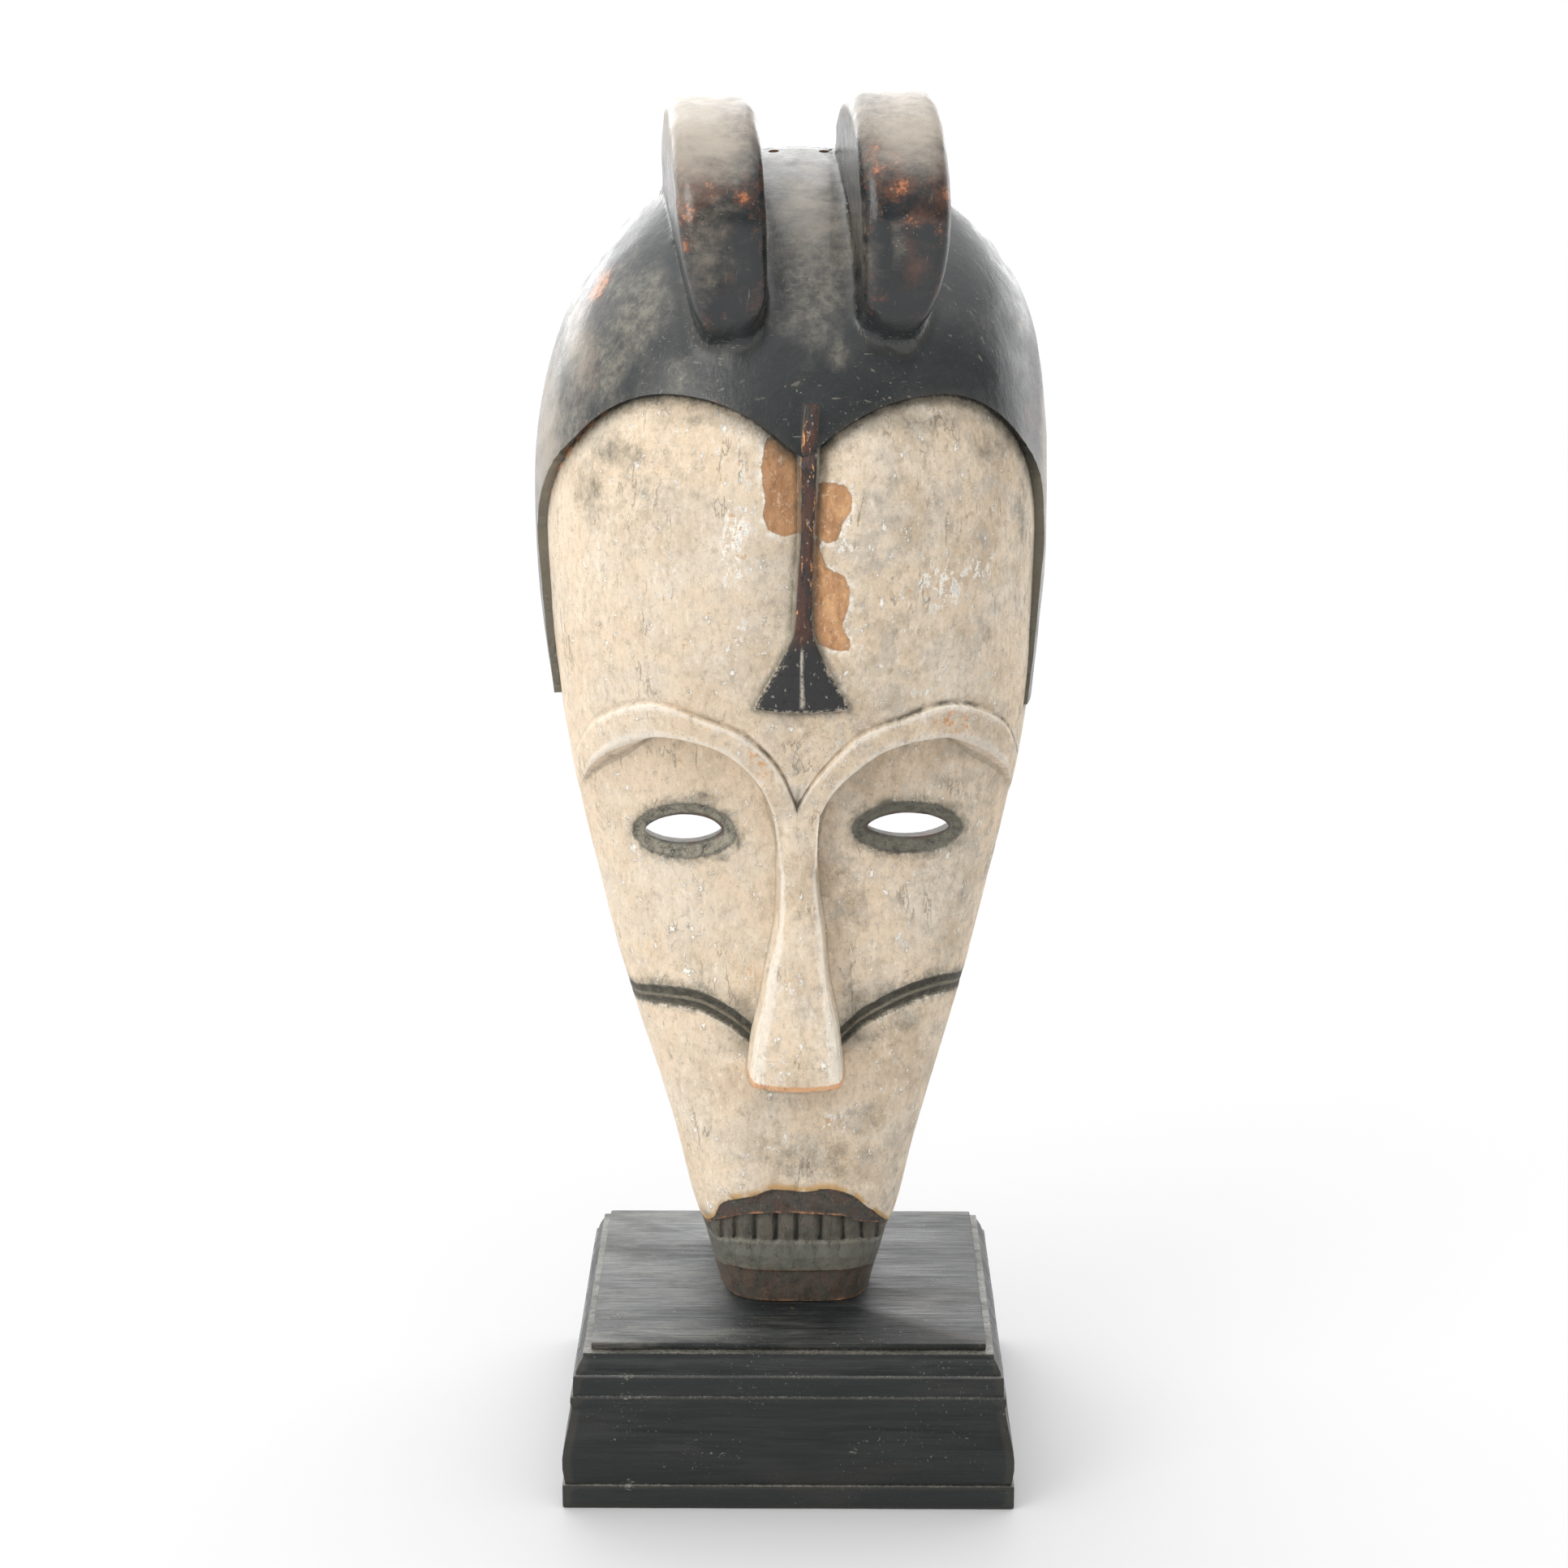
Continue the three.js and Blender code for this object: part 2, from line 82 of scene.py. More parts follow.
def tool_marks(points: Array, size: float, seed: float = 0.0) -> Array:
    """Height of shallow scoops left by an adze or gouge, 0 at their middles and up to about 1 between them.

    Args:
        points: Places in millimetres, one row each.
        size: Width of a scoop, in millimetres.
        seed: Moves the pattern.

    Returns:
        One value for each point.
    """
    shift = Vector((seed, -seed, seed * 0.3))
    return np.array([noise.voronoi(Vector(p) / size + shift)[0][0] ** 2 for p in points.tolist()])


@dataclass(frozen=True)
class Curve:
    """A smooth curve through a few measured points, held level past its ends."""

    points: tuple[tuple[float, float], ...]

    def __call__(self, at: Array | float) -> Array:
        """The curve's value at each place along it.

        Args:
            at: The places.

        Returns:
            One value for each place.
        """
        x, y = np.array(self.points).T
        slope = np.gradient(y)
        slope[1:-1] = (y[2:] - y[:-2]) / (x[2:] - x[:-2])
        slope[0] = (y[1] - y[0]) / (x[1] - x[0])
        slope[-1] = (y[-1] - y[-2]) / (x[-1] - x[-2])
        at = np.clip(at, x[0], x[-1])
        i = np.clip(np.searchsorted(x, at, side="left") - 1, 0, len(x) - 2)
        step = x[i + 1] - x[i]
        t = (at - x[i]) / step
        s = 1 - t
        ends = y[i] * s * s * (1 + 2 * t) + y[i + 1] * t * t * (3 - 2 * t)
        return ends + step * t * s * (slope[i] * s - slope[i + 1] * t)


def away_from(px: Array, pz: Array, line: Outline, closed: bool = True) -> Array:
    """Distance from points to a line in the front view.

    Args:
        px: Sideways places in millimetres.
        pz: Heights in millimetres.
        line: The line's corner points.
        closed: Whether the line comes back to its start.

    Returns:
        Distances, negative inside a closed line.
    """
    path = np.array(line + line[:1] if closed else line, float)
    nearest = np.full(px.shape, 1e9)
    inside = np.zeros(px.shape, bool)
    for (ax, az), (bx, bz) in zip(path[:-1], path[1:]):
        dx, dz = bx - ax, bz - az
        t = np.clip(((px - ax) * dx + (pz - az) * dz) / max(dx * dx + dz * dz, TINY), 0, 1)
        nearest = np.minimum(nearest, np.hypot(px - ax - t * dx, pz - az - t * dz))
        if closed and abs(dz) > TINY:
            crosses = ((az > pz) != (bz > pz)) & (px < ax + (pz - az) / dz * dx)
            inside ^= crosses
    return np.where(inside, -nearest, nearest)


@dataclass
class HeadForm:
    """The head's driving sizes, and its surface as functions of the front view.

    x is measured from the head's middle line and z from the ground.
    """

    chin_bottom: float = 95.7
    rim: float = 62.0
    turn: float = 0.05
    crown: float = 746.0
    widest: float = 560.0
    widest_half: float = 140.6
    dome_roundness: float = 2.2
    shoulder_full: float = 1.8
    shoulder_height: float = 665.0
    cap: float = 6.0
    cap_front: float = 3.5
    cap_bottom: float = 446.0
    wall: float = 15.0
    hollow_bottom: float = 142.0
    brow_proud: float = 2.6
    lobe_swell: float = 4.5
    lip_bottom: float = 116.3
    teeth_bottom: float = 135.4
    teeth_depth: float = 3.4
    tooth_edges: tuple[float, ...] = (-50.5, -43.9, -36.7, -25.3, -13.1, -1.2, 12.6, 25.8, 36.6, 45.5, 52.5)
    nose_bottom: float = 241.8

    middle: Curve = Curve((
        (95.7, 3.2), (200, 3.9), (300, 3.3), (400, 3.9), (450, 3.9), (500, 2.6), (560, 2.4), (620, 4.2),
        (660, 7.2), (690, 8.6), (750, 6.5),
    ))
    side: Curve = Curve((
        (95.7, 46), (122, 53), (150, 62.5), (189, 72), (289, 102), (338, 114), (386, 125),
        (424, 131.9), (453, 135.6), (500, 139.4), (560, 140.6),
    ))
    squareness: Curve = Curve((
        (95.7, 4.6), (160, 4), (300, 3.4), (400, 3.1), (470, 2.7), (560, 2.4), (746, 2.1),
    ))
    forehead: Curve = Curve((
        (395, 53), (425, 62), (460, 72), (500, 80), (560, 86), (600, 83.5), (640, 72), (670, 58),
        (705, 31), (728, 0), (740, -31), (746, -62),
    ))
    face: Curve = Curve((
        (95.7, 41.7), (112, 44), (150, 50), (200, 50), (250, 48), (320, 43.5), (375, 42), (410, 43.5),
        (450, 50),
    ))
    nose_half: Curve = Curve((
        (241, 26.6), (262, 24.4), (275, 22.2), (290, 18.9), (308, 16.0), (328, 13.2), (345, 11.3),
        (378, 10.0), (402, 9.3),
    ))
    nose_lean: Curve = Curve((
        (205, 0), (228, -1.6), (243, -2.9), (262, -2.4), (280, -1.6), (305, -1.2), (330, 0.1), (350, -0.7),
        (375, -1.5), (400, -2.2), (430, 0),
    ))
    nose_forward: Curve = Curve((
        (243, 75), (268, 71.5), (290, 68), (308, 65), (325, 62), (345, 59.4), (378, 56.8), (392, 57.0),
        (404, 58.6),
    ))
    brow_upper: Curve = Curve((
        (0, 398.5), (4.5, 408.6), (9, 417.5), (14.5, 426), (23.5, 436.5), (32, 444), (41.5, 449),
        (50.5, 452.2), (60, 455.6), (69, 458.8), (78, 460.4), (87, 459.8), (96, 456.5), (104, 452),
        (110.5, 446.5), (117, 438.5), (122, 427.5), (127, 413),
    ))
    brow_lower: Curve = Curve((
        (10.4, 366), (10.9, 376), (11.5, 385), (12.4, 392), (14, 398.8), (17.2, 406.7), (21.7, 414.3),
        (28, 421.8), (36, 429.3), (44, 434.8), (52, 438.2), (62, 440.7), (72, 442), (81, 441.8), (90, 440),
        (98.5, 436.8), (106, 431.6), (113.2, 424.2), (117.8, 417), (121, 409), (125, 397),
    ))
    left_groove: Curve = Curve((
        (18, 257), (24.5, 263.6), (31, 269.2), (38, 273.9), (47, 278.6), (56, 281.9), (65, 282.9),
        (74, 282.5), (84, 280.4), (93, 275.5), (102, 268),
    ))
    right_groove: Curve = Curve((
        (18, 254), (27, 264), (31.3, 268.4), (36, 273), (45, 278.3), (55, 283), (64, 286.2), (74, 287.9),
        (84, 287.6), (95.7, 282.5), (102, 277),
    ))
    lip_border: Curve = Curve((
        (-54, 141.5), (-48.5, 149), (-46.4, 156.8), (-42.3, 161.3), (-34.4, 164.2), (-25, 167),
        (-19.5, 169.7), (-14.8, 170.7), (-6.4, 170.3), (0.6, 169.3), (7.6, 169.8), (12.3, 171.3),
        (19.3, 170.8), (26.3, 168.6), (33.4, 164.5), (38.2, 159.3), (43.2, 155), (48.3, 148.5), (53, 142),
    ))
    lip_edge: Curve = Curve((
        (-53, 141), (-46, 147.6), (-39, 151.6), (-29.7, 154.6), (-20.4, 155.4), (-11, 155.8), (-1.7, 155.9),
        (7.6, 155.5), (17, 154.8), (24, 154), (28.8, 152.1), (36, 149), (45.9, 145.6), (52.4, 141.4),
    ))
    ridge_middle: Curve = Curve((
        (459, -0.3), (480, 0.2), (504, 1.4), (526, 1.9), (564, 3.3), (609, 3.0), (629, 3.4), (650, 4.5),
    ))
    ridge_half: Curve = Curve((
        (459, 24.5), (463, 24.8), (480, 15.6), (498, 7.2), (506, 4.7), (526, 4.0), (564, 3.4), (608, 4.2),
        (629, 3.0),
    ))
    ridge_proud: Curve = Curve((
        (459, 3.0), (480, 3.0), (498, 3.2), (526, 4.0), (564, 4.8), (584, 6.8), (598, 9.2), (612, 9.6),
        (629, 9.0),
    ))

    def half_width(self, z: Array, proud: float = 0.0) -> Array:
        """Half width of the head at a height, grown by proud.

        Args:
            z: Heights.
            proud: How far the surface is grown.

        Returns:
            Half widths.
        """
        t = np.clip((z - self.widest) / (self.crown + proud - self.widest), 0, 1)
        dome = (self.widest_half + proud) * (1 - t ** self.dome_roundness) ** (1 / self.dome_roundness)
        return np.where(z < self.widest, self.side(z) + proud, dome + self.shoulder(z) * (t < 1))

    def bare_height(self, z: Array, proud: float) -> Array:
        """The bare head's height that belongs to a height on a crown raised by proud."""
        share = (self.crown - self.widest) / (self.crown + proud - self.widest)
        return np.where(z < self.widest, z, self.widest + (z - self.widest) * share)

    def shoulder(self, z: Array) -> Array:
        """How much fuller the dome's shoulders are than a plain curve."""
        return self.shoulder_full * np.exp(-((z - self.shoulder_height) / 30) ** 2)

    def brow_top(self, x: Array) -> Array:
        """Height of the brow's upper edge."""
        return self.brow_upper(np.abs(x))

    def brow_under(self, x: Array) -> Array:
        """Height of the brow's lower edge."""
        return np.where(np.abs(x) < 10.4, 366 - (10.4 - np.abs(x)) * 4, self.brow_lower(np.abs(x)))

    def brow_slope(self, x: Array) -> Array:
        """Height of the facet under the brow, steep near the nose."""
        return 2.5 + 12.5 * smooth(np.abs(x), 74, 102)

    def groove(self, x: Array) -> Array:
        """Height of the cheek groove's middle."""
        return np.where(x < 0, self.left_groove(-x), self.right_groove(x))

    def lip_top(self, x: Array) -> Array:
        """Height of the upper lip's border."""
        return self.lip_border(x)

    def lip_bottom_edge(self, x: Array) -> Array:
        """Height of the upper lip's lower edge, over the teeth."""
        return np.minimum(self.lip_edge(x), self.lip_border(x) - 0.5)

    def teeth_foot(self, x: Array) -> Array:
        """Height of the teeth's lower ends."""
        return self.teeth_bottom - 5.5 * smooth(np.abs(x), 34, 51)

    def lip_foot(self, x: Array) -> Array:
        """Height of the lower lip's lower edge."""
        return self.lip_bottom - 6.0 * smooth(np.abs(x), 37, 50)

    def nose_end(self, x: Array) -> Array:
        """Height of the nose's lower edge, a little lower at its middle."""
        return self.nose_bottom - 2.2 + 2.2 * np.minimum(np.abs(x) / 26, 1.2) ** 2

    def swell(self, out: Array, z: Array) -> Array:
        """How much lower the forehead lies along its middle line than at its two lobes."""
        high = smooth(z, 452, 512) * (1 - smooth(z, self.widest, 635))
        return self.lobe_swell * high * (smooth(out, 0, 34) - 1)

    def mouth(self, x: Array, z: Array) -> Array:
        """Depth of the mouth's bands below the face: upper lip, teeth, lower lip and chin block.

        Args:
            x: Sideways places.
            z: Heights.

        Returns:
            Depths, below 0 where a band stands proud.
        """
        top = self.lip_top(x)
        low = self.lip_bottom_edge(x)
        foot = self.teeth_foot(x)
        lip = 0.9 * (1 - smooth(z, top - 1, top + 1))
        teeth = self.teeth_depth * (1 - smooth(z, low - 1.2, low))
        nearest = np.min([np.abs(x - edge) for edge in self.tooth_edges], axis=0)
        gap = 2.6 * (1 - smooth(nearest, 0.3, 2.2)) + 0.7 * (1 - smooth(nearest, 1.2, 5.5))
        gap *= smooth(z, foot - 0.5, foot + 1) * (1 - smooth(z, low - 1, low))
        rounded = 1.2 * smooth(z, low - 5, low - 1.2) * (1 - smooth(z, low - 1.2, low))
        lower = 3.0 * (1 - smooth(z, foot - 11, foot - 0.3)) + 0.7 * (1 - smooth(z, foot - 0.6, foot + 0.2))
        edge = self.lip_foot(x)
        chin = 2.7 * (1 - smooth(z, edge, edge + 1.4))
        return lip + teeth + gap + rounded - lower + chin

    def grooves(self, x: Array, z: Array) -> Array:
        """Depth of the cheek grooves, each with a rib along its middle.

        Args:
            x: Sideways places.
            z: Heights.

        Returns:
            Depths.
        """
        off = z - self.groove(x)
        bed = 2.6 * (1 - smooth(np.abs(off), 4.6, 6.4))
        rib = 1.7 * np.exp(-((off + 0.3) / 1.3) ** 2) + 0.5 * np.exp(-((off - 4.4) / 0.7) ** 2)
        return (bed - rib * (1 - smooth(np.abs(off), 4.6, 6.0))) * smooth(np.abs(x), 18, 26)

    def carved(self, x: Array, z: Array) -> Array:
        """How far the carved face stands forward at a front-view point.

        Args:
            x: Sideways places.
            z: Heights.

        Returns:
            Distances forward.
        """
        out = np.abs(x)
        under = self.brow_under(out)
        top = self.brow_top(out)
        shelf = smooth(z, under - self.brow_slope(out), under)
        forward = lerp(self.face(z), self.forehead(z), shelf)
        brow = self.brow_proud * (1 - smooth(z, top - 0.8, top + 1.2))
        channel = 1.2 * np.exp(-((z - top - 2.0) / 1.7) ** 2) * smooth(z, 399, 404)
        forward += shelf * (brow - channel + self.swell(out, z))
        return forward - self.grooves(x, z) - self.mouth(x, z)

    def nose(self, x: Array, z: Array) -> Array:
        """How far the nose's flat front stands forward, slightly crowned."""
        half = self.nose_half(z)
        return self.nose_forward(z) - 1.6 * (np.abs(x) / half) ** 4 - 0.8 * (x / half) ** 2

    def ridge(self, x: Array, z: Array) -> Array:
        """How far the median ridge and its flared foot stand forward.

        Args:
            x: Sideways places.
            z: Heights.

        Returns:
            Distances forward.
        """
        half = self.ridge_half(z)
        rounding = 1.2 * np.minimum(np.abs(x - self.ridge_middle(z)) / half, 1.2) ** 4
        return self.forehead(z) + self.swell(np.abs(x) * 0, z) + self.ridge_proud(z) - rounding

    def with_raised(self, x: Array, z: Array) -> Array:
        """The carved face with the nose and the ridge standing on it.

        Args:
            x: Sideways places.
            z: Heights.

        Returns:
            Distances forward.
        """
        out = np.abs(x)
        forward = self.carved(x, z)
        half = self.nose_half(z)
        on_nose = 1 - smooth(out, half - 1.4, half + 1.8)
        on_nose *= smooth(z, self.nose_end(x) - 1.6, self.nose_end(x) + 0.4) * (1 - smooth(z, 393, 401))
        forward = lerp(forward, np.maximum(self.nose(x, z), forward), on_nose)
        half = self.ridge_half(z)
        foot = 459.6 + 1.6 * (np.abs(x) / 24) ** 2
        aside = np.abs(x - self.ridge_middle(z))
        on_ridge = (1 - smooth(aside, half - 0.2, half + 1.3)) * smooth(z, foot - 1, foot + 0.4)
        on_ridge *= 1 - smooth(z, 627, 631)
        return lerp(forward, self.ridge(x, z), on_ridge)

    def across(self, x: Array, z: Array) -> Array:
        """How much of the head's depth is left at a sideways place, 1 at the middle and 0 at the rim.

        Args:
            x: Sideways places.
            z: Heights.

        Returns:
            One value for each place.
        """
        share = np.minimum(np.abs(x) / np.maximum(self.half_width(z), TINY), 1)
        n = self.squareness(z)
        return (1 - share ** n) ** (1 / n)

    def stance(self, points: Array) -> Array:
        """Points leaned and turned as the mask stands, from the head's own middle line.

        Args:
            points: Places, one row each.

        Returns:
            The moved points.
        """
        moved = points.copy()
        moved[:, 0] += self.middle(points[:, 2]) - points[:, 1] * self.turn + self.leaned(points)
        return moved

    def leaned(self, points: Array) -> Array:
        """How far the nose leans sideways at each point."""
        return self.nose_lean(points[:, 2]) * np.exp(-(points[:, 0] / 44) ** 4)

    def upright(self, points: Array) -> Array:
        """Points of the standing mask, back on the head's own middle line.

        Args:
            points: Places, one row each.

        Returns:
            The moved points.
        """
        moved = points.copy()
        moved[:, 0] -= self.middle(points[:, 2]) - points[:, 1] * self.turn
        moved[:, 0] -= self.leaned(moved)
        return moved


class Join(Enum):
    """How one body changes another."""

    ADD = "UNION"
    CUT = "DIFFERENCE"


class Zone(Enum):
    """The finishes of the mask, by the number of their material slot."""

    FACE = 0
    CAP = 1
    CREST = 2
    INSIDE = 3


def new_grid(columns: int, rows: int) -> tuple[bmesh.types.BMesh, Array, Array]:
    """A flat grid to be laid on a surface.

    Args:
        columns: Faces across.
        rows: Faces up.

    Returns:
        The bmesh and each vertex's place across and up, both from 0 to 1.
    """
    bm = bmesh.new()
    bmesh.ops.create_grid(bm, x_segments=columns, y_segments=rows, size=1)
    places = np.array([v.co[:2] for v in bm.verts])
    return bm, places[:, 0] * 0.5 + 0.5, places[:, 1] * 0.5 + 0.5


def lay(bm: bmesh.types.BMesh, points: Array) -> None:
    """Moves each vertex to its point."""
    for vert, point in zip(bm.verts, points.tolist()):
        vert.co = point


def loft(rings: list[Array], name: str, zone: Zone | None = None) -> bpy.types.Object:
    """A closed body drawn through rings that all have the same number of points.

    Args:
        rings: The rings in order, each with one row per point.
        name: The object's name.
        zone: The finish that all its faces carry.

    Returns:
        The body.
    """
    count = len(rings[0])
    bm, around, along = new_grid(count, len(rings) - 1)
    spot = np.round(around * count).astype(int) % count
    level = np.round(along * (len(rings) - 1)).astype(int)
    lay(bm, np.array(rings)[level, spot])
    seal(bm)
    return as_object(bm, name, zone)


def close_behind(bm: bmesh.types.BMesh, y: float) -> None:
    """Draws a sheet's border straight back to a plane and closes it there.

    Args:
        bm: The sheet, which becomes a closed body.
        y: The plane's place from front to back.
    """
    border = [edge for edge in bm.edges if edge.is_boundary]
    drawn = bmesh.ops.extrude_edge_only(bm, edges=border)["geom"]
    for vert in (v for v in drawn if isinstance(v, bmesh.types.BMVert)):
        vert.co.y = y
    seal(bm)


def seal(bm: bmesh.types.BMesh) -> None:
    """Merges doubled points, fills open ends and turns every face outwards.

    Args:
        bm: The body, which is changed.
    """
    bmesh.ops.remove_doubles(bm, verts=bm.verts, dist=1e-4)
    bmesh.ops.dissolve_degenerate(bm, dist=1e-5, edges=bm.edges)
    bmesh.ops.holes_fill(bm, edges=[edge for edge in bm.edges if edge.is_boundary], sides=0)
    face_outwards(bm)


def face_outwards(bm: bmesh.types.BMesh) -> None:
    """Turns every face of a closed body outwards, also where the body is a thin or folded one.

    Args:
        bm: The body, which is changed.
    """
    bmesh.ops.recalc_face_normals(bm, faces=bm.faces)
    if bm.calc_volume(signed=True) < 0:
        bmesh.ops.reverse_faces(bm, faces=bm.faces)


def as_object(bm: bmesh.types.BMesh, name: str, zone: Zone | None = None) -> bpy.types.Object:
    """Writes a bmesh in millimetres out as an object in metres.

    Args:
        bm: The bmesh, which is freed.
        name: The object's name.
        zone: The finish that all its faces carry.

    Returns:
        The object, at the origin.
    """
    bmesh.ops.scale(bm, vec=(MM, MM, MM), verts=bm.verts)
    mesh = bpy.data.meshes.new(name)
    bm.to_mesh(mesh)
    loose = sum(not edge.is_manifold for edge in bm.edges)
    LOG.info("%s: %d faces, %d open edges", name, len(bm.faces), loose)
    bm.free()
    if zone is not None:
        layer = mesh.attributes.new("zone", "INT", "FACE")
        layer.data.foreach_set("value", [zone.value] * len(mesh.polygons))
    piece = bpy.data.objects.new(name, mesh)
    bpy.context.scene.collection.objects.link(piece)
    return piece


def combine(target: bpy.types.Object, tool: bpy.types.Object, how: Join) -> None:
    """Joins a body to another, or cuts it away, and removes the tool.

    Args:
        target: The body that is changed.
        tool: The other body.
        how: Whether it is added or cut away.
    """
    modifier = target.modifiers.new("combine", "BOOLEAN")
    modifier.object = tool
    modifier.operation = how.value
    modifier.solver = "MANIFOLD"
    bpy.context.view_layer.update()
    graph = bpy.context.evaluated_depsgraph_get()
    mesh = bpy.data.meshes.new_from_object(target.evaluated_get(graph))
    target.modifiers.clear()
    old, target.data = target.data, mesh
    bpy.data.meshes.remove(old)
    spent = tool.data
    bpy.data.objects.remove(tool)
    bpy.data.meshes.remove(spent)


def ease_seam(mesh: bpy.types.Mesh, one: Zone, other: Zone, reach: int, rounds: int, rim: float) -> None:
    """Rounds the hollow where faces of two zones meet.

    Args:
        mesh: The joined mesh.
        one: The first zone.
        other: The second zone.
        reach: How many faces away from the seam are eased.
        rounds: How often they are smoothed.
        rim: Where the flat back lies, in millimetres. Its points stay, so that it stays flat.
    """
    bm = bmesh.new()
    bm.from_mesh(mesh)
    zone = bm.faces.layers.int["zone"]
    near = set()
    for edge in bm.edges:
        if {face[zone] for face in edge.link_faces} == {one.value, other.value}:
            near.update(edge.verts)
    for _ in range(reach):
        near.update([edge.other_vert(vert) for vert in near for edge in vert.link_edges])
    eased = [vert for vert in near if vert.co.y < (rim - 0.1) * MM]
    for _ in range(rounds):
        bmesh.ops.smooth_vert(bm, verts=eased, factor=0.5, use_axis_x=True, use_axis_y=True, use_axis_z=True)
    bm.to_mesh(mesh)
    bm.free()


def drop_slivers(mesh: bpy.types.Mesh, fewest: int = 100) -> None:
    """Removes the specks that the joins leave behind.

    Args:
        mesh: The joined mesh.
        fewest: A shell with fewer points than this goes.
    """
    bm = bmesh.new()
    bm.from_mesh(mesh)
    unseen = set(bm.verts)
    while unseen:
        shell = {unseen.pop()}
        fresh = shell
        while fresh:
            fresh = {edge.other_vert(vert) for vert in fresh for edge in vert.link_edges} - shell
            shell = shell | fresh
        unseen -= shell
        if len(shell) < fewest:
            LOG.info("dropped a speck of %d points", len(shell))
            bmesh.ops.delete(bm, geom=list(shell), context="VERTS")
    bm.to_mesh(mesh)
    bm.free()


def refill_rim(mesh: bpy.types.Mesh, rim: float, nearest: float = 0.4) -> None:
    """Fills the flat back anew between its outlines, once their small folds are merged.

    The joins leave it as a few faces with hundreds of sides. Where an outline doubles back
    on itself, such a face would be drawn right across the hollow.

    Args:
        mesh: The joined mesh.
        rim: Where the flat back lies, in millimetres.
        nearest: Points of it that lie nearer than this become one, in millimetres.
    """
    bm = bmesh.new()
    bm.from_mesh(mesh)
    start = (rim - 0.1) * MM
    bmesh.ops.remove_doubles(bm, verts=[vert for vert in bm.verts if vert.co.y > start], dist=nearest * MM)
    flat = [face for face in bm.faces if all(vert.co.y > start for vert in face.verts)]
    bmesh.ops.delete(bm, geom=flat, context="FACES_ONLY")
    bmesh.ops.delete(bm, geom=[edge for edge in bm.edges if edge.is_wire], context="EDGES")
    outlines = [edge for edge in bm.edges if edge.is_boundary]
    filled = bmesh.ops.triangle_fill(bm, use_beauty=True, edges=outlines, normal=(0, 1, 0))
    zone = bm.faces.layers.int["zone"]
    for face in filled["geom"]:
        if isinstance(face, bmesh.types.BMFace):
            face[zone] = Zone.INSIDE.value
    loose = sum(not edge.is_manifold for edge in bm.edges)
    LOG.info("flat back: %d faces, %d open edges", len(filled["geom"]), loose)
    bm.to_mesh(mesh)
    bm.free()


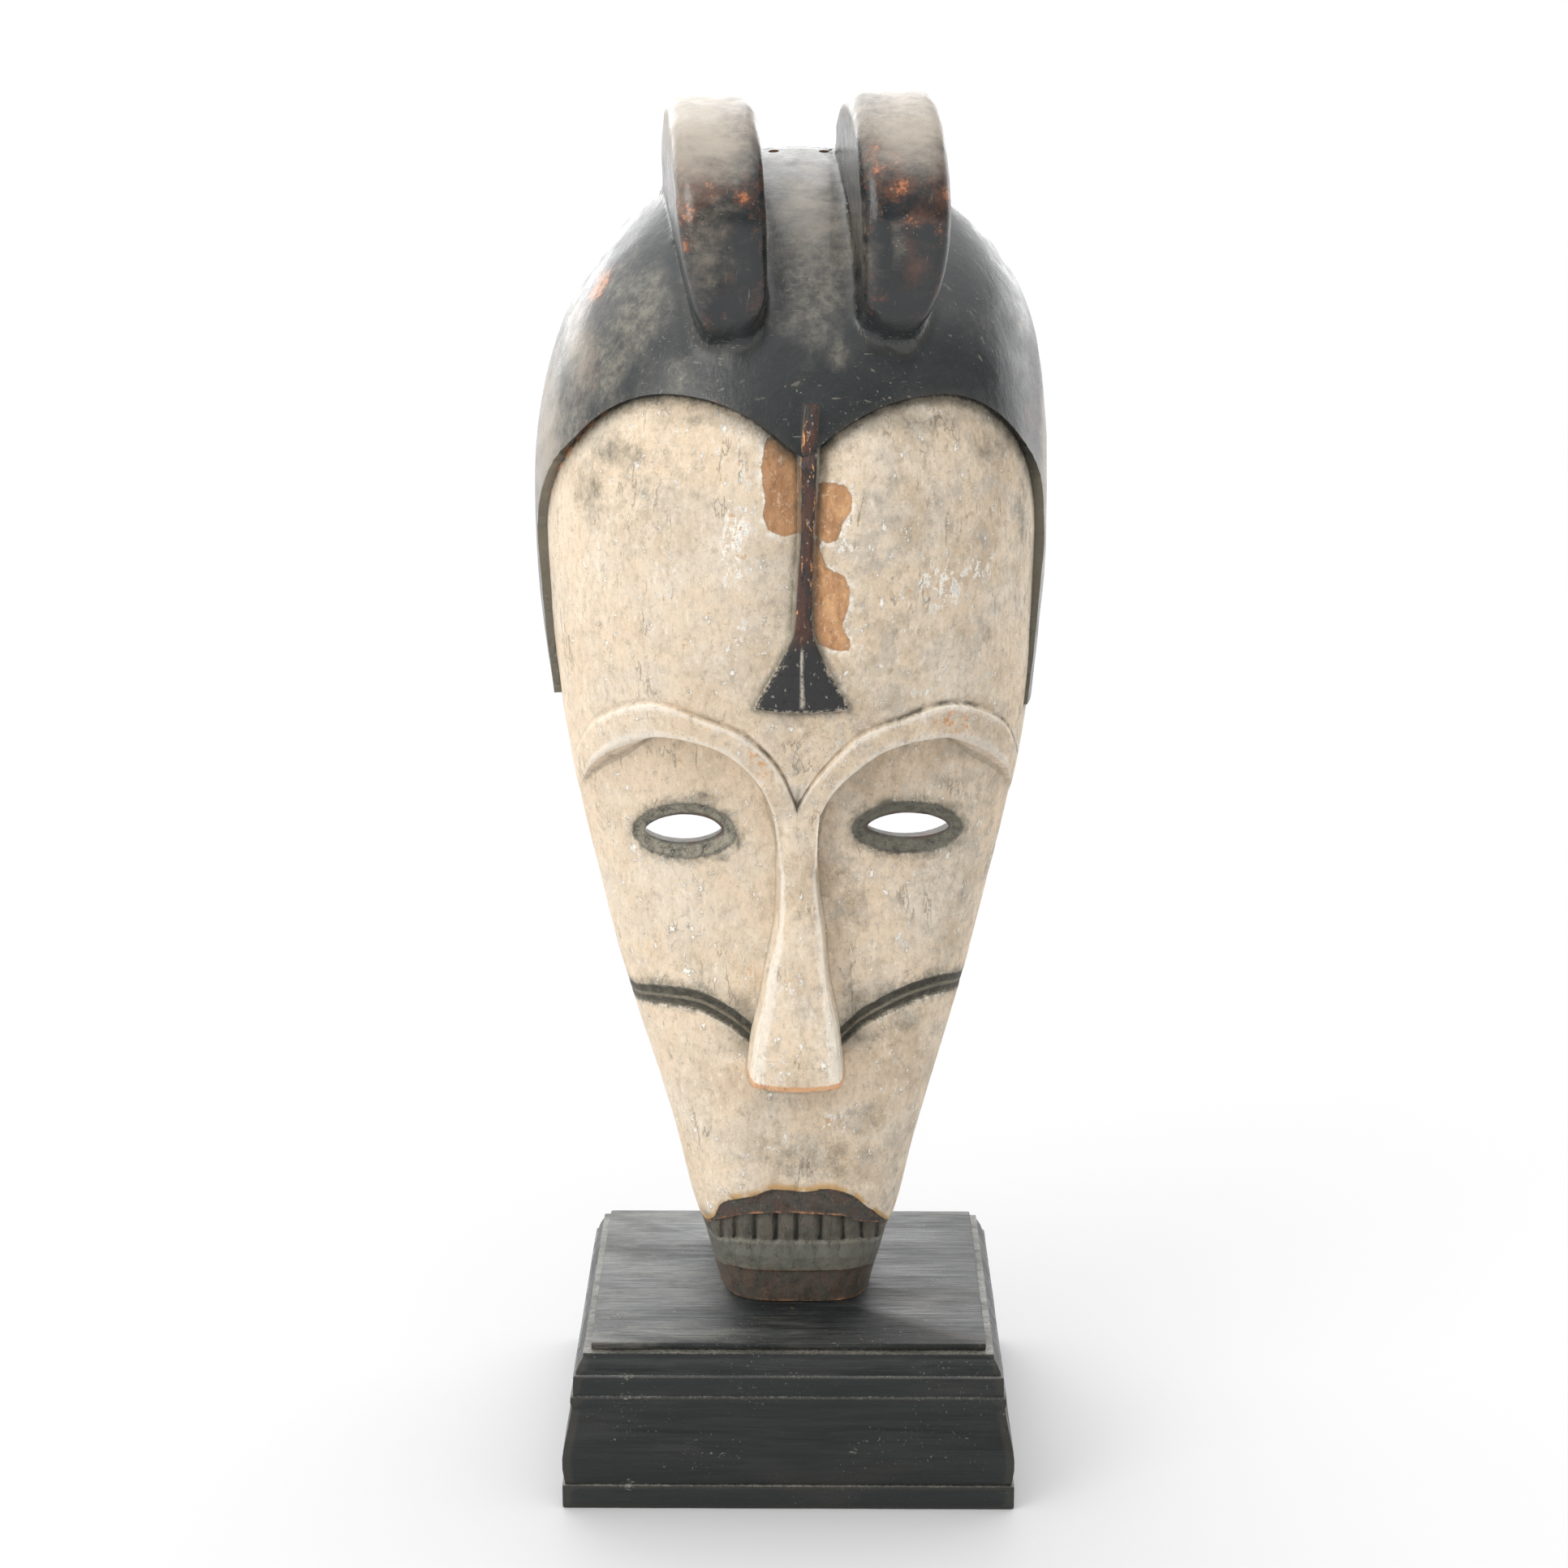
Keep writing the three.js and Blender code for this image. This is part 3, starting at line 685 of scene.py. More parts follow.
@dataclass
class Bench:
    """Lays out the nodes of one material."""

    name: str
    material: bpy.types.Material = field(init=False)
    tree: bpy.types.NodeTree = field(init=False)
    shader: bpy.types.Node = field(init=False)

    def __post_init__(self) -> None:
        """Makes the material with a bare surface shader."""
        self.material = bpy.data.materials.new(self.name)
        self.material.use_nodes = True
        self.tree = self.material.node_tree
        self.shader = self.tree.nodes["Principled BSDF"]

    def node(self, kind: str, **settings: object) -> bpy.types.Node:
        """A new node with its settings.

        Args:
            kind: The node's type name without its prefix.
            settings: Values of its own properties.

        Returns:
            The node.
        """
        node = self.tree.nodes.new("ShaderNode" + kind)
        for key, value in settings.items():
            setattr(node, key, value)
        return node

    def feed(self, socket: bpy.types.NodeSocket, value: object) -> None:
        """Sets an input, or links an output to it.

        Args:
            socket: The input.
            value: A number, a colour or another node's output. None leaves the input as it is.
        """
        if isinstance(value, bpy.types.NodeSocket):
            self.tree.links.new(value, socket)
        elif value is not None:
            socket.default_value = value

    def place(
        self, stretch: tuple[float, float, float] = (1, 1, 1), shift: float = 0.0,
    ) -> bpy.types.NodeSocket:
        """Object coordinates in metres, stretched and moved.

        Args:
            stretch: The scale along each axis.
            shift: Moves the pattern.

        Returns:
            The output.
        """
        mapping = self.node("Mapping")
        self.feed(mapping.inputs["Vector"], self.node("TexCoord").outputs["Object"])
        mapping.inputs["Scale"].default_value = stretch
        mapping.inputs["Location"].default_value = (shift, shift * 0.6, -shift)
        return mapping.outputs["Vector"]

    def grain(self, size: float, detail: float = 3.0, rough: float = 0.55,
              stretch: tuple[float, float, float] = (1, 1, 1), shift: float = 0.0) -> bpy.types.NodeSocket:
        """Cloudy noise from 0 to 1.

        Args:
            size: Width of its largest clouds in millimetres.
            detail: How many finer layers it has.
            rough: How strong those layers are.
            stretch: Below 1, the clouds are longer along that axis.
            shift: Moves the pattern.

        Returns:
            The noise's output.
        """
        node = self.node("TexNoise")
        self.feed(node.inputs["Vector"], self.place(stretch, shift))
        node.inputs["Scale"].default_value = 1 / (size * MM)
        node.inputs["Detail"].default_value = detail
        node.inputs["Roughness"].default_value = rough
        return node.outputs["Fac"]

    def attribute(self, name: str) -> bpy.types.NodeSocket:
        """A value stored on the mesh."""
        return self.node("Attribute", attribute_name=name).outputs["Fac"]

    def axis(self, index: int) -> bpy.types.NodeSocket:
        """One object coordinate, in metres.

        Args:
            index: 0 for sideways, 1 for depth, 2 for height.

        Returns:
            The output.
        """
        node = self.node("SeparateXYZ")
        self.feed(node.inputs[0], self.node("TexCoord").outputs["Object"])
        return node.outputs[index]

    def step(
        self, value: object, start: float, end: float, low: float = 0.0, high: float = 1.0,
    ) -> bpy.types.NodeSocket:
        """A soft step of a value from low at start to high at end.

        Args:
            value: What is stepped.
            start: Where the step starts.
            end: Where it ends, above or below its start.
            low: The result at the start.
            high: The result at the end.

        Returns:
            The output.
        """
        node = self.node("MapRange", interpolation_type="SMOOTHSTEP")
        if start > end:
            start, end, low, high = end, start, high, low
        for socket, given in zip(node.inputs, (value, start, end, low, high)):
            self.feed(socket, given)
        return node.outputs["Result"]

    def sum(self, a: object, b: object, how: str = "ADD") -> bpy.types.NodeSocket:
        """Two values through one arithmetic step.

        Args:
            a: The first value.
            b: The second value.
            how: The arithmetic, adding if nothing else is said.

        Returns:
            The output.
        """
        node = self.node("Math", operation=how)
        self.feed(node.inputs[0], a)
        self.feed(node.inputs[1], b)
        return node.outputs[0]

    def times(self, *values: object) -> bpy.types.NodeSocket:
        """The product of several values.

        Args:
            values: Numbers or other nodes' outputs.

        Returns:
            The output.
        """
        result = values[0]
        for value in values[1:]:
            result = self.sum(result, value, "MULTIPLY")
        return result

    def most(self, *values: object) -> bpy.types.NodeSocket:
        """The largest of several values.

        Args:
            values: Numbers or other nodes' outputs.

        Returns:
            The output.
        """
        result = values[0]
        for value in values[1:]:
            result = self.sum(result, value, "MAXIMUM")
        return result

    def blend(self, share: object, a: object, b: object) -> bpy.types.NodeSocket:
        """A colour mixed from a to b by a share.

        Args:
            share: How much of b is taken, from 0 to 1.
            a: The first colour.
            b: The second colour.

        Returns:
            The output.
        """
        node = self.node("Mix", data_type="RGBA")
        self.feed(node.inputs[0], share)
        self.feed(node.inputs[6], a)
        self.feed(node.inputs[7], b)
        return node.outputs[2]

    def finish(self, colour: object, roughness: object, height: object, depth: float) -> bpy.types.Material:
        """Wires the surface and returns the material.

        Args:
            colour: Base colour.
            roughness: Roughness.
            height: Fine relief from 0 to 1.
            depth: Depth of that relief in millimetres.

        Returns:
            The finished material.
        """
        bump = self.node("Bump")
        bump.inputs["Strength"].default_value = 1.0
        bump.inputs["Distance"].default_value = depth * MM
        self.feed(bump.inputs["Height"], height)
        self.feed(self.shader.inputs["Base Color"], colour)
        self.feed(self.shader.inputs["Roughness"], roughness)
        self.feed(self.shader.inputs["Normal"], bump.outputs["Normal"])
        return self.material


def paint(red: float, green: float, blue: float) -> tuple[float, float, float, float]:
    """A colour as a shader takes it, from its 0 to 255 screen values."""
    shares = (level / 255 for level in (red, green, blue))
    return tuple(s / 12.92 if s < 11 / 255 else ((s + 0.055) / 1.055) ** 2.4 for s in shares) + (1.0,)


@dataclass(frozen=True)
class FaceFinish:
    """Kaolin over pale wood, with the dark painted ridge, eyes, cheek grooves and mouth."""

    kaolin: tuple = paint(221, 207, 187)
    warm: tuple = paint(222, 202, 176)
    drab: tuple = paint(192, 172, 146)
    grey: tuple = paint(184, 175, 162)
    # Chalk white of flakes, also used for painted highlight on edges.
    chalk_and_highlight: tuple = paint(246, 242, 233)
    # Grime colour, also used for painted shade in hollows.
    grime_and_shade: tuple = paint(128, 117, 99)
    tan: tuple = paint(196, 150, 106)
    bare_wood: tuple = paint(206, 158, 110)
    bare_dark: tuple = paint(158, 112, 74)
    worn_wood: tuple = paint(207, 148, 96)
    # Dark soot colour, also used for painted shade.
    soot: tuple = paint(88, 87, 76)
    groove_dark: tuple = paint(52, 50, 43)
    black: tuple = paint(40, 41, 38)
    ridge_black: tuple = paint(38, 39, 38)
    ridge_red: tuple = paint(78, 50, 40)
    lip: tuple = paint(70, 66, 59)
    lip_brown: tuple = paint(78, 60, 50)
    tooth: tuple = paint(112, 110, 97)
    lower_lip: tuple = paint(82, 83, 76)
    lower_pale: tuple = paint(106, 105, 94)
    chin: tuple = paint(36, 17, 9)
    chin_red: tuple = paint(88, 44, 24)
    orange: tuple = paint(184, 128, 84)
    rib: tuple = paint(122, 114, 98)
    ochre: tuple = paint(186, 146, 88)
    olive: tuple = paint(150, 145, 127)

    def ground(self, b: Bench) -> bpy.types.NodeSocket:
        """The kaolin itself: warm and grey clouds, crust, fine cracks and flaking.

        Args:
            b: The bench that the nodes are laid out on.

        Returns:
            The colour's output.
        """
        # The drab, grey and darker clouds below are stronger towards the face's right side.
        side = b.step(b.axis(0), -0.06, 0.05)
        clouds = b.grain(44, 4, 0.6)
        colour = b.blend(b.step(clouds, 0.36, 0.62), self.kaolin, self.warm)
        socket = b.times(
            b.step(b.attribute("brow_under"), -62, -30), b.step(b.attribute("brow_under"), 0, -4),
        )
        colour = b.blend(
            b.times(socket, b.step(b.grain(20, 3, 0.6, shift=6.3), 0.3, 0.7), 0.6), colour, self.warm,
        )
        stained = b.step(b.grain(30, 6, 0.66, stretch=(1, 1, 0.8), shift=9.3), 0.46, 0.66, 0.0, 0.78)
        stained = b.times(stained, b.step(b.axis(0), -0.10, 0.04, 0.4, 1.0))
        colour = b.blend(stained, colour, self.drab)
        dull = b.step(b.grain(17, 5, 0.68, shift=3.1), 0.46, 0.72)
        colour = b.blend(b.times(dull, b.sum(b.times(side, 0.6), 0.24)), colour, self.grey)
        middle = b.step(b.grain(6.5, 5, 0.72, shift=1.7), 0.46, 0.74)
        colour = b.blend(b.times(middle, b.sum(b.times(side, 0.16), 0.26)), colour, self.grime_and_shade)
        streak = b.grain(4.6, 5, 0.72, stretch=(1, 1, 0.55), shift=5.2)
        colour = b.blend(b.step(streak, 0.52, 0.76, 0.0, 0.36), colour, self.grime_and_shade)
        fine = b.grain(2.7, 4, 0.7, stretch=(1, 1, 0.45), shift=2.8)
        colour = b.blend(b.step(fine, 0.28, 0.50, 0.28, 0.0), colour, self.grime_and_shade)
        colour = b.blend(b.step(fine, 0.55, 0.72, 0.0, 0.40), colour, self.chalk_and_highlight)
        pits = b.grain(1.5, 2, 0.6, shift=7.8)
        colour = b.blend(b.step(pits, 0.30, 0.36, 0.35, 0.0), colour, self.grime_and_shade)
        spread = b.sum(
            b.attribute("flaking"), b.times(b.step(b.grain(34, 3, 0.5, shift=9.9), 0.5, 0.66), 0.28),
        )
        flakes = b.step(
            b.sum(b.grain(4.4, 5, 0.66, stretch=(1, 1, 0.7), shift=8.4), b.times(spread, 0.12)), 0.632,
            0.662,
        )
        colour = b.blend(b.times(flakes, 0.8), colour, self.chalk_and_highlight)
        tan = b.step(
            b.sum(b.grain(5.2, 5, 0.7, shift=4.7), b.times(b.attribute("flaking"), 0.09)), 0.655, 0.70,
        )
        return b.blend(b.times(tan, 0.62), colour, self.tan)

    def cracks(self, b: Bench) -> bpy.types.NodeSocket:
        """Thin, mostly upright cracks in the crust, from 0 to 1.

        Args:
            b: The bench that the nodes are laid out on.

        Returns:
            The output.
        """
        drift = b.node("Math", operation="ABSOLUTE")
        b.feed(drift.inputs[0], b.sum(b.grain(24, 6, 0.62, stretch=(1, 1, 0.22), shift=1.1), -0.5))
        line = b.step(drift.outputs[0], 0.008, 0.002)
        return b.times(line, b.step(b.grain(30, 3, 0.6, shift=7.2), 0.52, 0.64))

    def material(self) -> bpy.types.Material:
        """The whole face's material.

        Returns:
            The material.
        """
        b = Bench("kaolin_and_paint")
        wave = b.sum(b.grain(8, 4, 0.65, shift=2.2), -0.5)
        fray = b.sum(b.grain(2.0, 4, 0.75, shift=6.1), -0.5)
        ragged = b.sum(b.times(wave, 5.0), b.times(fray, 4.0))
        soft = b.sum(b.times(wave, 16.0), b.times(fray, 12.0))
        colour = self.ground(b)
        cracks = self.cracks(b)
        colour = b.blend(b.times(cracks, 0.4), colour, self.grime_and_shade)
        crevice = b.attribute("crevice")
        edge = b.attribute("edge")
        # Darker in the carving's hollows: dirt, and painted shade.
        colour = b.blend(
            b.step(b.sum(crevice, b.times(fray, 0.8)), 0.22, 0.95, 0.0, 0.42), colour, self.grime_and_shade,
        )
        # Painted highlight, with rubbing: the carving's edges lighten towards chalk white, except near the
        # eyes.
        lit = b.step(b.sum(edge, b.times(fray, 1.2)), 0.35, 0.95, 0.0, 0.38)
        colour = b.blend(b.times(lit, b.step(b.attribute("eye"), 14, 20)), colour, self.chalk_and_highlight)

        wear = b.attribute("brow_wear")
        browned = b.step(b.sum(b.grain(5, 5, 0.75, shift=4.4), b.times(wear, 0.135)), 0.60, 0.72)
        colour = b.blend(b.times(browned, b.step(wear, 0.1, 0.5), 0.75), colour, self.worn_wood)
        brow = b.sum(b.attribute("brow"), b.times(ragged, 0.55))
        line = b.times(
            b.step(brow, -0.4, 1.2), b.step(brow, 4.2, 1.6),
            b.step(b.grain(12, 5, 0.7, shift=3.7), 0.40, 0.62),
        )
        colour = b.blend(b.times(line, b.attribute("brow_line"), 0.85), colour, self.soot)

        patch = b.attribute("patch")
        lost = b.step(b.sum(patch, b.times(ragged, 0.42)), 0.5, -0.4)
        wood = b.blend(
            b.step(b.grain(7, 6, 0.72, stretch=(1, 1, 0.4), shift=7.7), 0.34, 0.64), self.bare_wood,
            self.bare_dark,
        )
        wood = b.blend(b.step(b.axis(0), 0.008, -0.004, 0.0, 0.4), wood, self.bare_dark)
        wood = b.blend(
            b.step(b.grain(1.8, 4, 0.7, stretch=(1, 1, 0.3), shift=4.2), 0.45, 0.7, 0.0, 0.45), wood,
            self.bare_dark,
        )
        wood = b.blend(b.step(b.grain(3.0, 4, 0.7, shift=2.7), 0.56, 0.66, 0.0, 0.5), wood, self.warm)
        wood = b.blend(
            b.step(b.sum(patch, b.times(ragged, 0.5)), -2.4, -0.4, 0.0, 0.35), wood, self.bare_dark,
        )
        pale_rim = b.times(b.step(patch, 5.0, 0.5), b.step(b.grain(4, 3, 0.6, shift=0.4), 0.46, 0.60), 0.6)
        colour = b.blend(pale_rim, colour, self.chalk_and_highlight)
        colour = b.blend(b.times(lost, 0.95), colour, wood)

        # Smudges of dirt, and painted shade beside the nose and along the lobes' borders.
        soot = b.step(b.sum(b.attribute("soot"), b.times(soft, 0.045)), 0.14, 0.8, 0.0, 0.85)
        colour = b.blend(soot, colour, self.soot)
        lobe = b.attribute("lobe")
        high = b.step(b.axis(2), 0.53, 0.60, 0.15, 1.0)
        # Painted shade where the lobes curve in under the cap's border, mostly on their upper parts.
        colour = b.blend(
            b.times(b.step(b.sum(lobe, b.times(soft, 1.1)), 13.0, -3.0, 0.0, 0.85), high), colour, self.soot,
        )
        border = b.sum(b.sum(lobe, b.times(ragged, 0.6)), b.step(b.axis(2), 0.6, 0.54, 0.0, 2.4))
        colour = b.blend(b.step(border, 3.2, 1.4, 0.0, 0.7), colour, self.black)
        frayed = b.times(
            b.step(border, 4.0, 2.4), b.step(b.axis(0), -0.09, -0.115),
            b.step(b.grain(8, 5, 0.7, shift=1.6), 0.44, 0.58),
        )
        colour = b.blend(b.times(frayed, 0.8), colour, self.worn_wood)

        eye = b.attribute("eye")
        halo = b.step(b.sum(eye, b.times(soft, 0.9)), 15.0, 6.0, 0.0, 0.62)
        ring = b.step(b.sum(eye, b.times(ragged, 0.8)), 9.4, 7.4, 0.0, 0.92)
        bevel = b.blend(
            b.step(b.grain(6, 5, 0.7, stretch=(0.5, 1, 1), shift=1.9), 0.34, 0.60), self.black, self.soot,
        )
        paler = b.step(b.axis(0), 0.02, -0.02, 0.26, 0.85)
        bed = b.times(b.step(eye, 0.6, 2.6), b.step(b.sum(eye, b.times(ragged, 0.4)), 8.6, 6.0), paler)
        bevel = b.blend(b.times(bed, b.step(b.grain(5, 5, 0.7, shift=6.8), 0.34, 0.62)), bevel, self.olive)
        bevel = b.blend(
            b.times(b.step(b.grain(1.3, 3, 0.75, shift=6.8), 0.5, 0.68), bed, 0.7), bevel, self.grey,
        )
        lid = b.times(b.step(eye, 2.8, 0.4), b.step(b.grain(12, 2, 0.5, shift=5.9), 0.46, 0.60), 0.7)
        bevel = b.blend(lid, bevel, self.ridge_red)
        colour = b.blend(halo, colour, self.soot)
        colour = b.blend(ring, colour, bevel)

        groove = b.attribute("groove")
        across = b.node("Math", operation="ABSOLUTE")
        b.feed(across.inputs[0], groove)
        across = across.outputs[0]
        near_nose = b.step(b.attribute("nose_side"), 34, 4, 0.0, 1.0)
        above = b.sum(across, b.step(groove, 1.0, -1.0, 0.0, 3.0))
        dusting = b.step(b.sum(above, b.times(soft, 0.9)), 13.5, 4.5, 0.0, 0.72)
        dusting = b.most(
            dusting, b.times(b.step(b.sum(above, b.times(soft, 1.1)), 22.0, 4.0), near_nose, 0.75),
        )
        colour = b.blend(dusting, colour, self.soot)
        trench = b.step(b.sum(across, b.times(ragged, 0.9)), 7.2, 4.8, 0.0, 0.9)
        wander = b.sum(b.sum(groove, 0.3), b.times(wave, 2.4))
        line = b.node("Math", operation="ABSOLUTE")
        b.feed(line.inputs[0], wander)
        tone = b.blend(
            b.step(b.sum(line.outputs[0], b.times(fray, 1.6)), 1.5, 0.6), self.groove_dark, self.rib,
        )
        tone = b.blend(b.step(b.sum(across, b.times(fray, 2.0)), 4.0, 5.6, 0.0, 0.7), tone, self.soot)
        tone = b.blend(
            b.step(b.grain(3.4, 5, 0.75, stretch=(0.5, 1, 1), shift=8.6), 0.42, 0.62, 0.0, 0.75), tone,
            self.soot,
        )
        colour = b.blend(trench, colour, tone)

        ridge = b.attribute("ridge")
        on_ridge = b.step(b.sum(ridge, b.times(ragged, 0.14)), 0.6, -0.4)
        height = b.axis(2)
        reddish = b.times(
            b.step(height, 0.492, 0.508),
            b.step(b.grain(6, 4, 0.6, stretch=(1, 1, 0.3), shift=3.3), 0.38, 0.58),
        )
        tone = b.blend(reddish, self.ridge_black, self.ridge_red)
        chipped = b.times(
            b.step(b.grain(3.4, 4, 0.65, stretch=(1, 1, 0.35), shift=1.1), 0.57, 0.62),
            b.step(height, 0.494, 0.52),
        )
        tone = b.blend(chipped, tone, self.worn_wood)
        flecks = b.step(b.grain(2.2, 3, 0.6, stretch=(1, 1, 0.5), shift=8.1), 0.62, 0.68)
        tone = b.blend(b.times(flecks, 0.5), tone, self.grey)
        tone = b.blend(b.times(b.attribute("ridge_line"), b.step(fray, -0.18, 0.0)), tone, self.grey)
        # Darker beside the ridge, where the lobes dip into a valley: dirt, and painted shade.
        dirt_and_shade = b.step(b.sum(ridge, b.times(soft, 0.32)), 5.5, 0.0, 0.0, 0.75)
        colour = b.blend(dirt_and_shade, colour, self.soot)
        crumbs = b.times(
            b.step(ridge, 1.6, 0.4), b.step(ridge, -2.0, -0.6),
            b.step(b.grain(2.4, 3, 0.7, shift=0.7), 0.46, 0.56),
        )
        colour = b.blend(on_ridge, colour, tone)
        colour = b.blend(b.times(crumbs, b.step(height, 0.492, 0.482), 0.45), colour, self.kaolin)

        mouth, in_mouth = self.mouth(b, fray, ragged, crevice)
        lip = b.attribute("lip")
        ochre = b.times(
            b.step(b.sum(lip, b.times(ragged, 0.5)), 5.4, 1.6),
            b.step(b.grain(11, 3, 0.6, shift=6.6), 0.36, 0.52),
        )
        colour = b.blend(b.times(ochre, 0.85), colour, self.ochre)
        colour = b.blend(in_mouth, colour, mouth)

        tip = b.step(b.sum(b.attribute("nose_tip"), b.times(ragged, 0.35)), 4.0, 2.8, 0.0, 0.85)
        colour = b.blend(tip, colour, b.blend(b.step(fray, -0.1, 0.15), self.worn_wood, self.tan))

        relief = b.sum(
            b.times(b.grain(2.3, 4, 0.7, shift=4.9), 0.4), b.times(b.grain(8, 5, 0.7, shift=0.9), 0.6),
        )
        relief = b.sum(relief, b.times(lost, -0.6))
        relief = b.sum(
            relief, b.times(b.step(b.grain(4.4, 5, 0.66, stretch=(1, 1, 0.7), shift=8.4), 0.60, 0.66), 0.35),
        )
        relief = b.sum(relief, b.times(cracks, -0.5))
        dark = b.most(in_mouth, on_ridge, ring)
        roughness = b.sum(0.88, b.times(dark, -0.30))
        return b.finish(colour, roughness, relief, 0.95)

    def mouth(self, b: Bench, fray: object, ragged: object, crevice: object) -> tuple:
        """The mouth's bands.

        Args:
            b: The bench.
            fray: Fine noise about 0.
            ragged: Wavy noise about 0, in millimetres.
            crevice: Where the carving is hollow.

        Returns:
            The mouth's colour and how far a point is inside it.
        """
        inside = b.step(b.sum(b.attribute("lip"), b.times(ragged, 0.34)), 0.5, -0.5)
        band = b.attribute("mouth_band")
        grain = b.grain(4.5, 5, 0.7, stretch=(1, 1, 0.35), shift=2.9)
        blotch = b.grain(10, 4, 0.65, shift=5.4)
        lip = b.blend(b.step(blotch, 0.42, 0.60), self.lip, self.lip_brown)
        lip = b.blend(
            b.step(b.grain(4, 5, 0.75, stretch=(0.6, 1, 1), shift=9.4), 0.42, 0.66, 0.0, 0.7), lip,
            self.black,
        )
        lip = b.blend(b.step(b.grain(2.6, 4, 0.75, shift=4.3), 0.56, 0.70, 0.0, 0.5), lip, self.rib)
        tooth = b.blend(b.step(grain, 0.44, 0.66, 0.0, 0.6), self.tooth, self.black)
        lower = b.blend(b.step(b.attribute("lower_facet"), 0.0, 1.0), self.lower_lip, self.lower_pale)
        lower = b.blend(b.step(b.grain(9, 4, 0.7, shift=2.4), 0.45, 0.70, 0.0, 0.55), lower, self.black)
        chin = b.blend(b.step(grain, 0.40, 0.62), self.chin, self.chin_red)
        colour = b.blend(b.step(band, 0.9, 1.1), lip, tooth)
        colour = b.blend(b.step(band, 1.9, 2.1), colour, lower)
        pale = b.step(b.grain(2.2, 3, 0.7, stretch=(1, 1, 0.5), shift=7.9), 0.60, 0.70, 0.0, 0.4)
        colour = b.blend(pale, colour, self.lower_pale)
        colour = b.blend(b.step(band, 2.9, 3.1), colour, chin)
        # Painted shade: the mouth's hollows, between and under the teeth, darken towards black.
        colour = b.blend(
            b.step(b.sum(crevice, b.times(fray, 0.4)), 0.30, 0.9, 0.0, 0.85), colour, self.black,
        )
        rubbed = b.step(b.sum(b.attribute("mouth_edge"), b.times(fray, 3.0)), 1.3, 0.5)
        rubbed = b.times(rubbed, b.step(b.grain(7, 5, 0.7, shift=3.9), 0.42, 0.60), 0.7)
        return b.blend(rubbed, colour, self.orange), inside


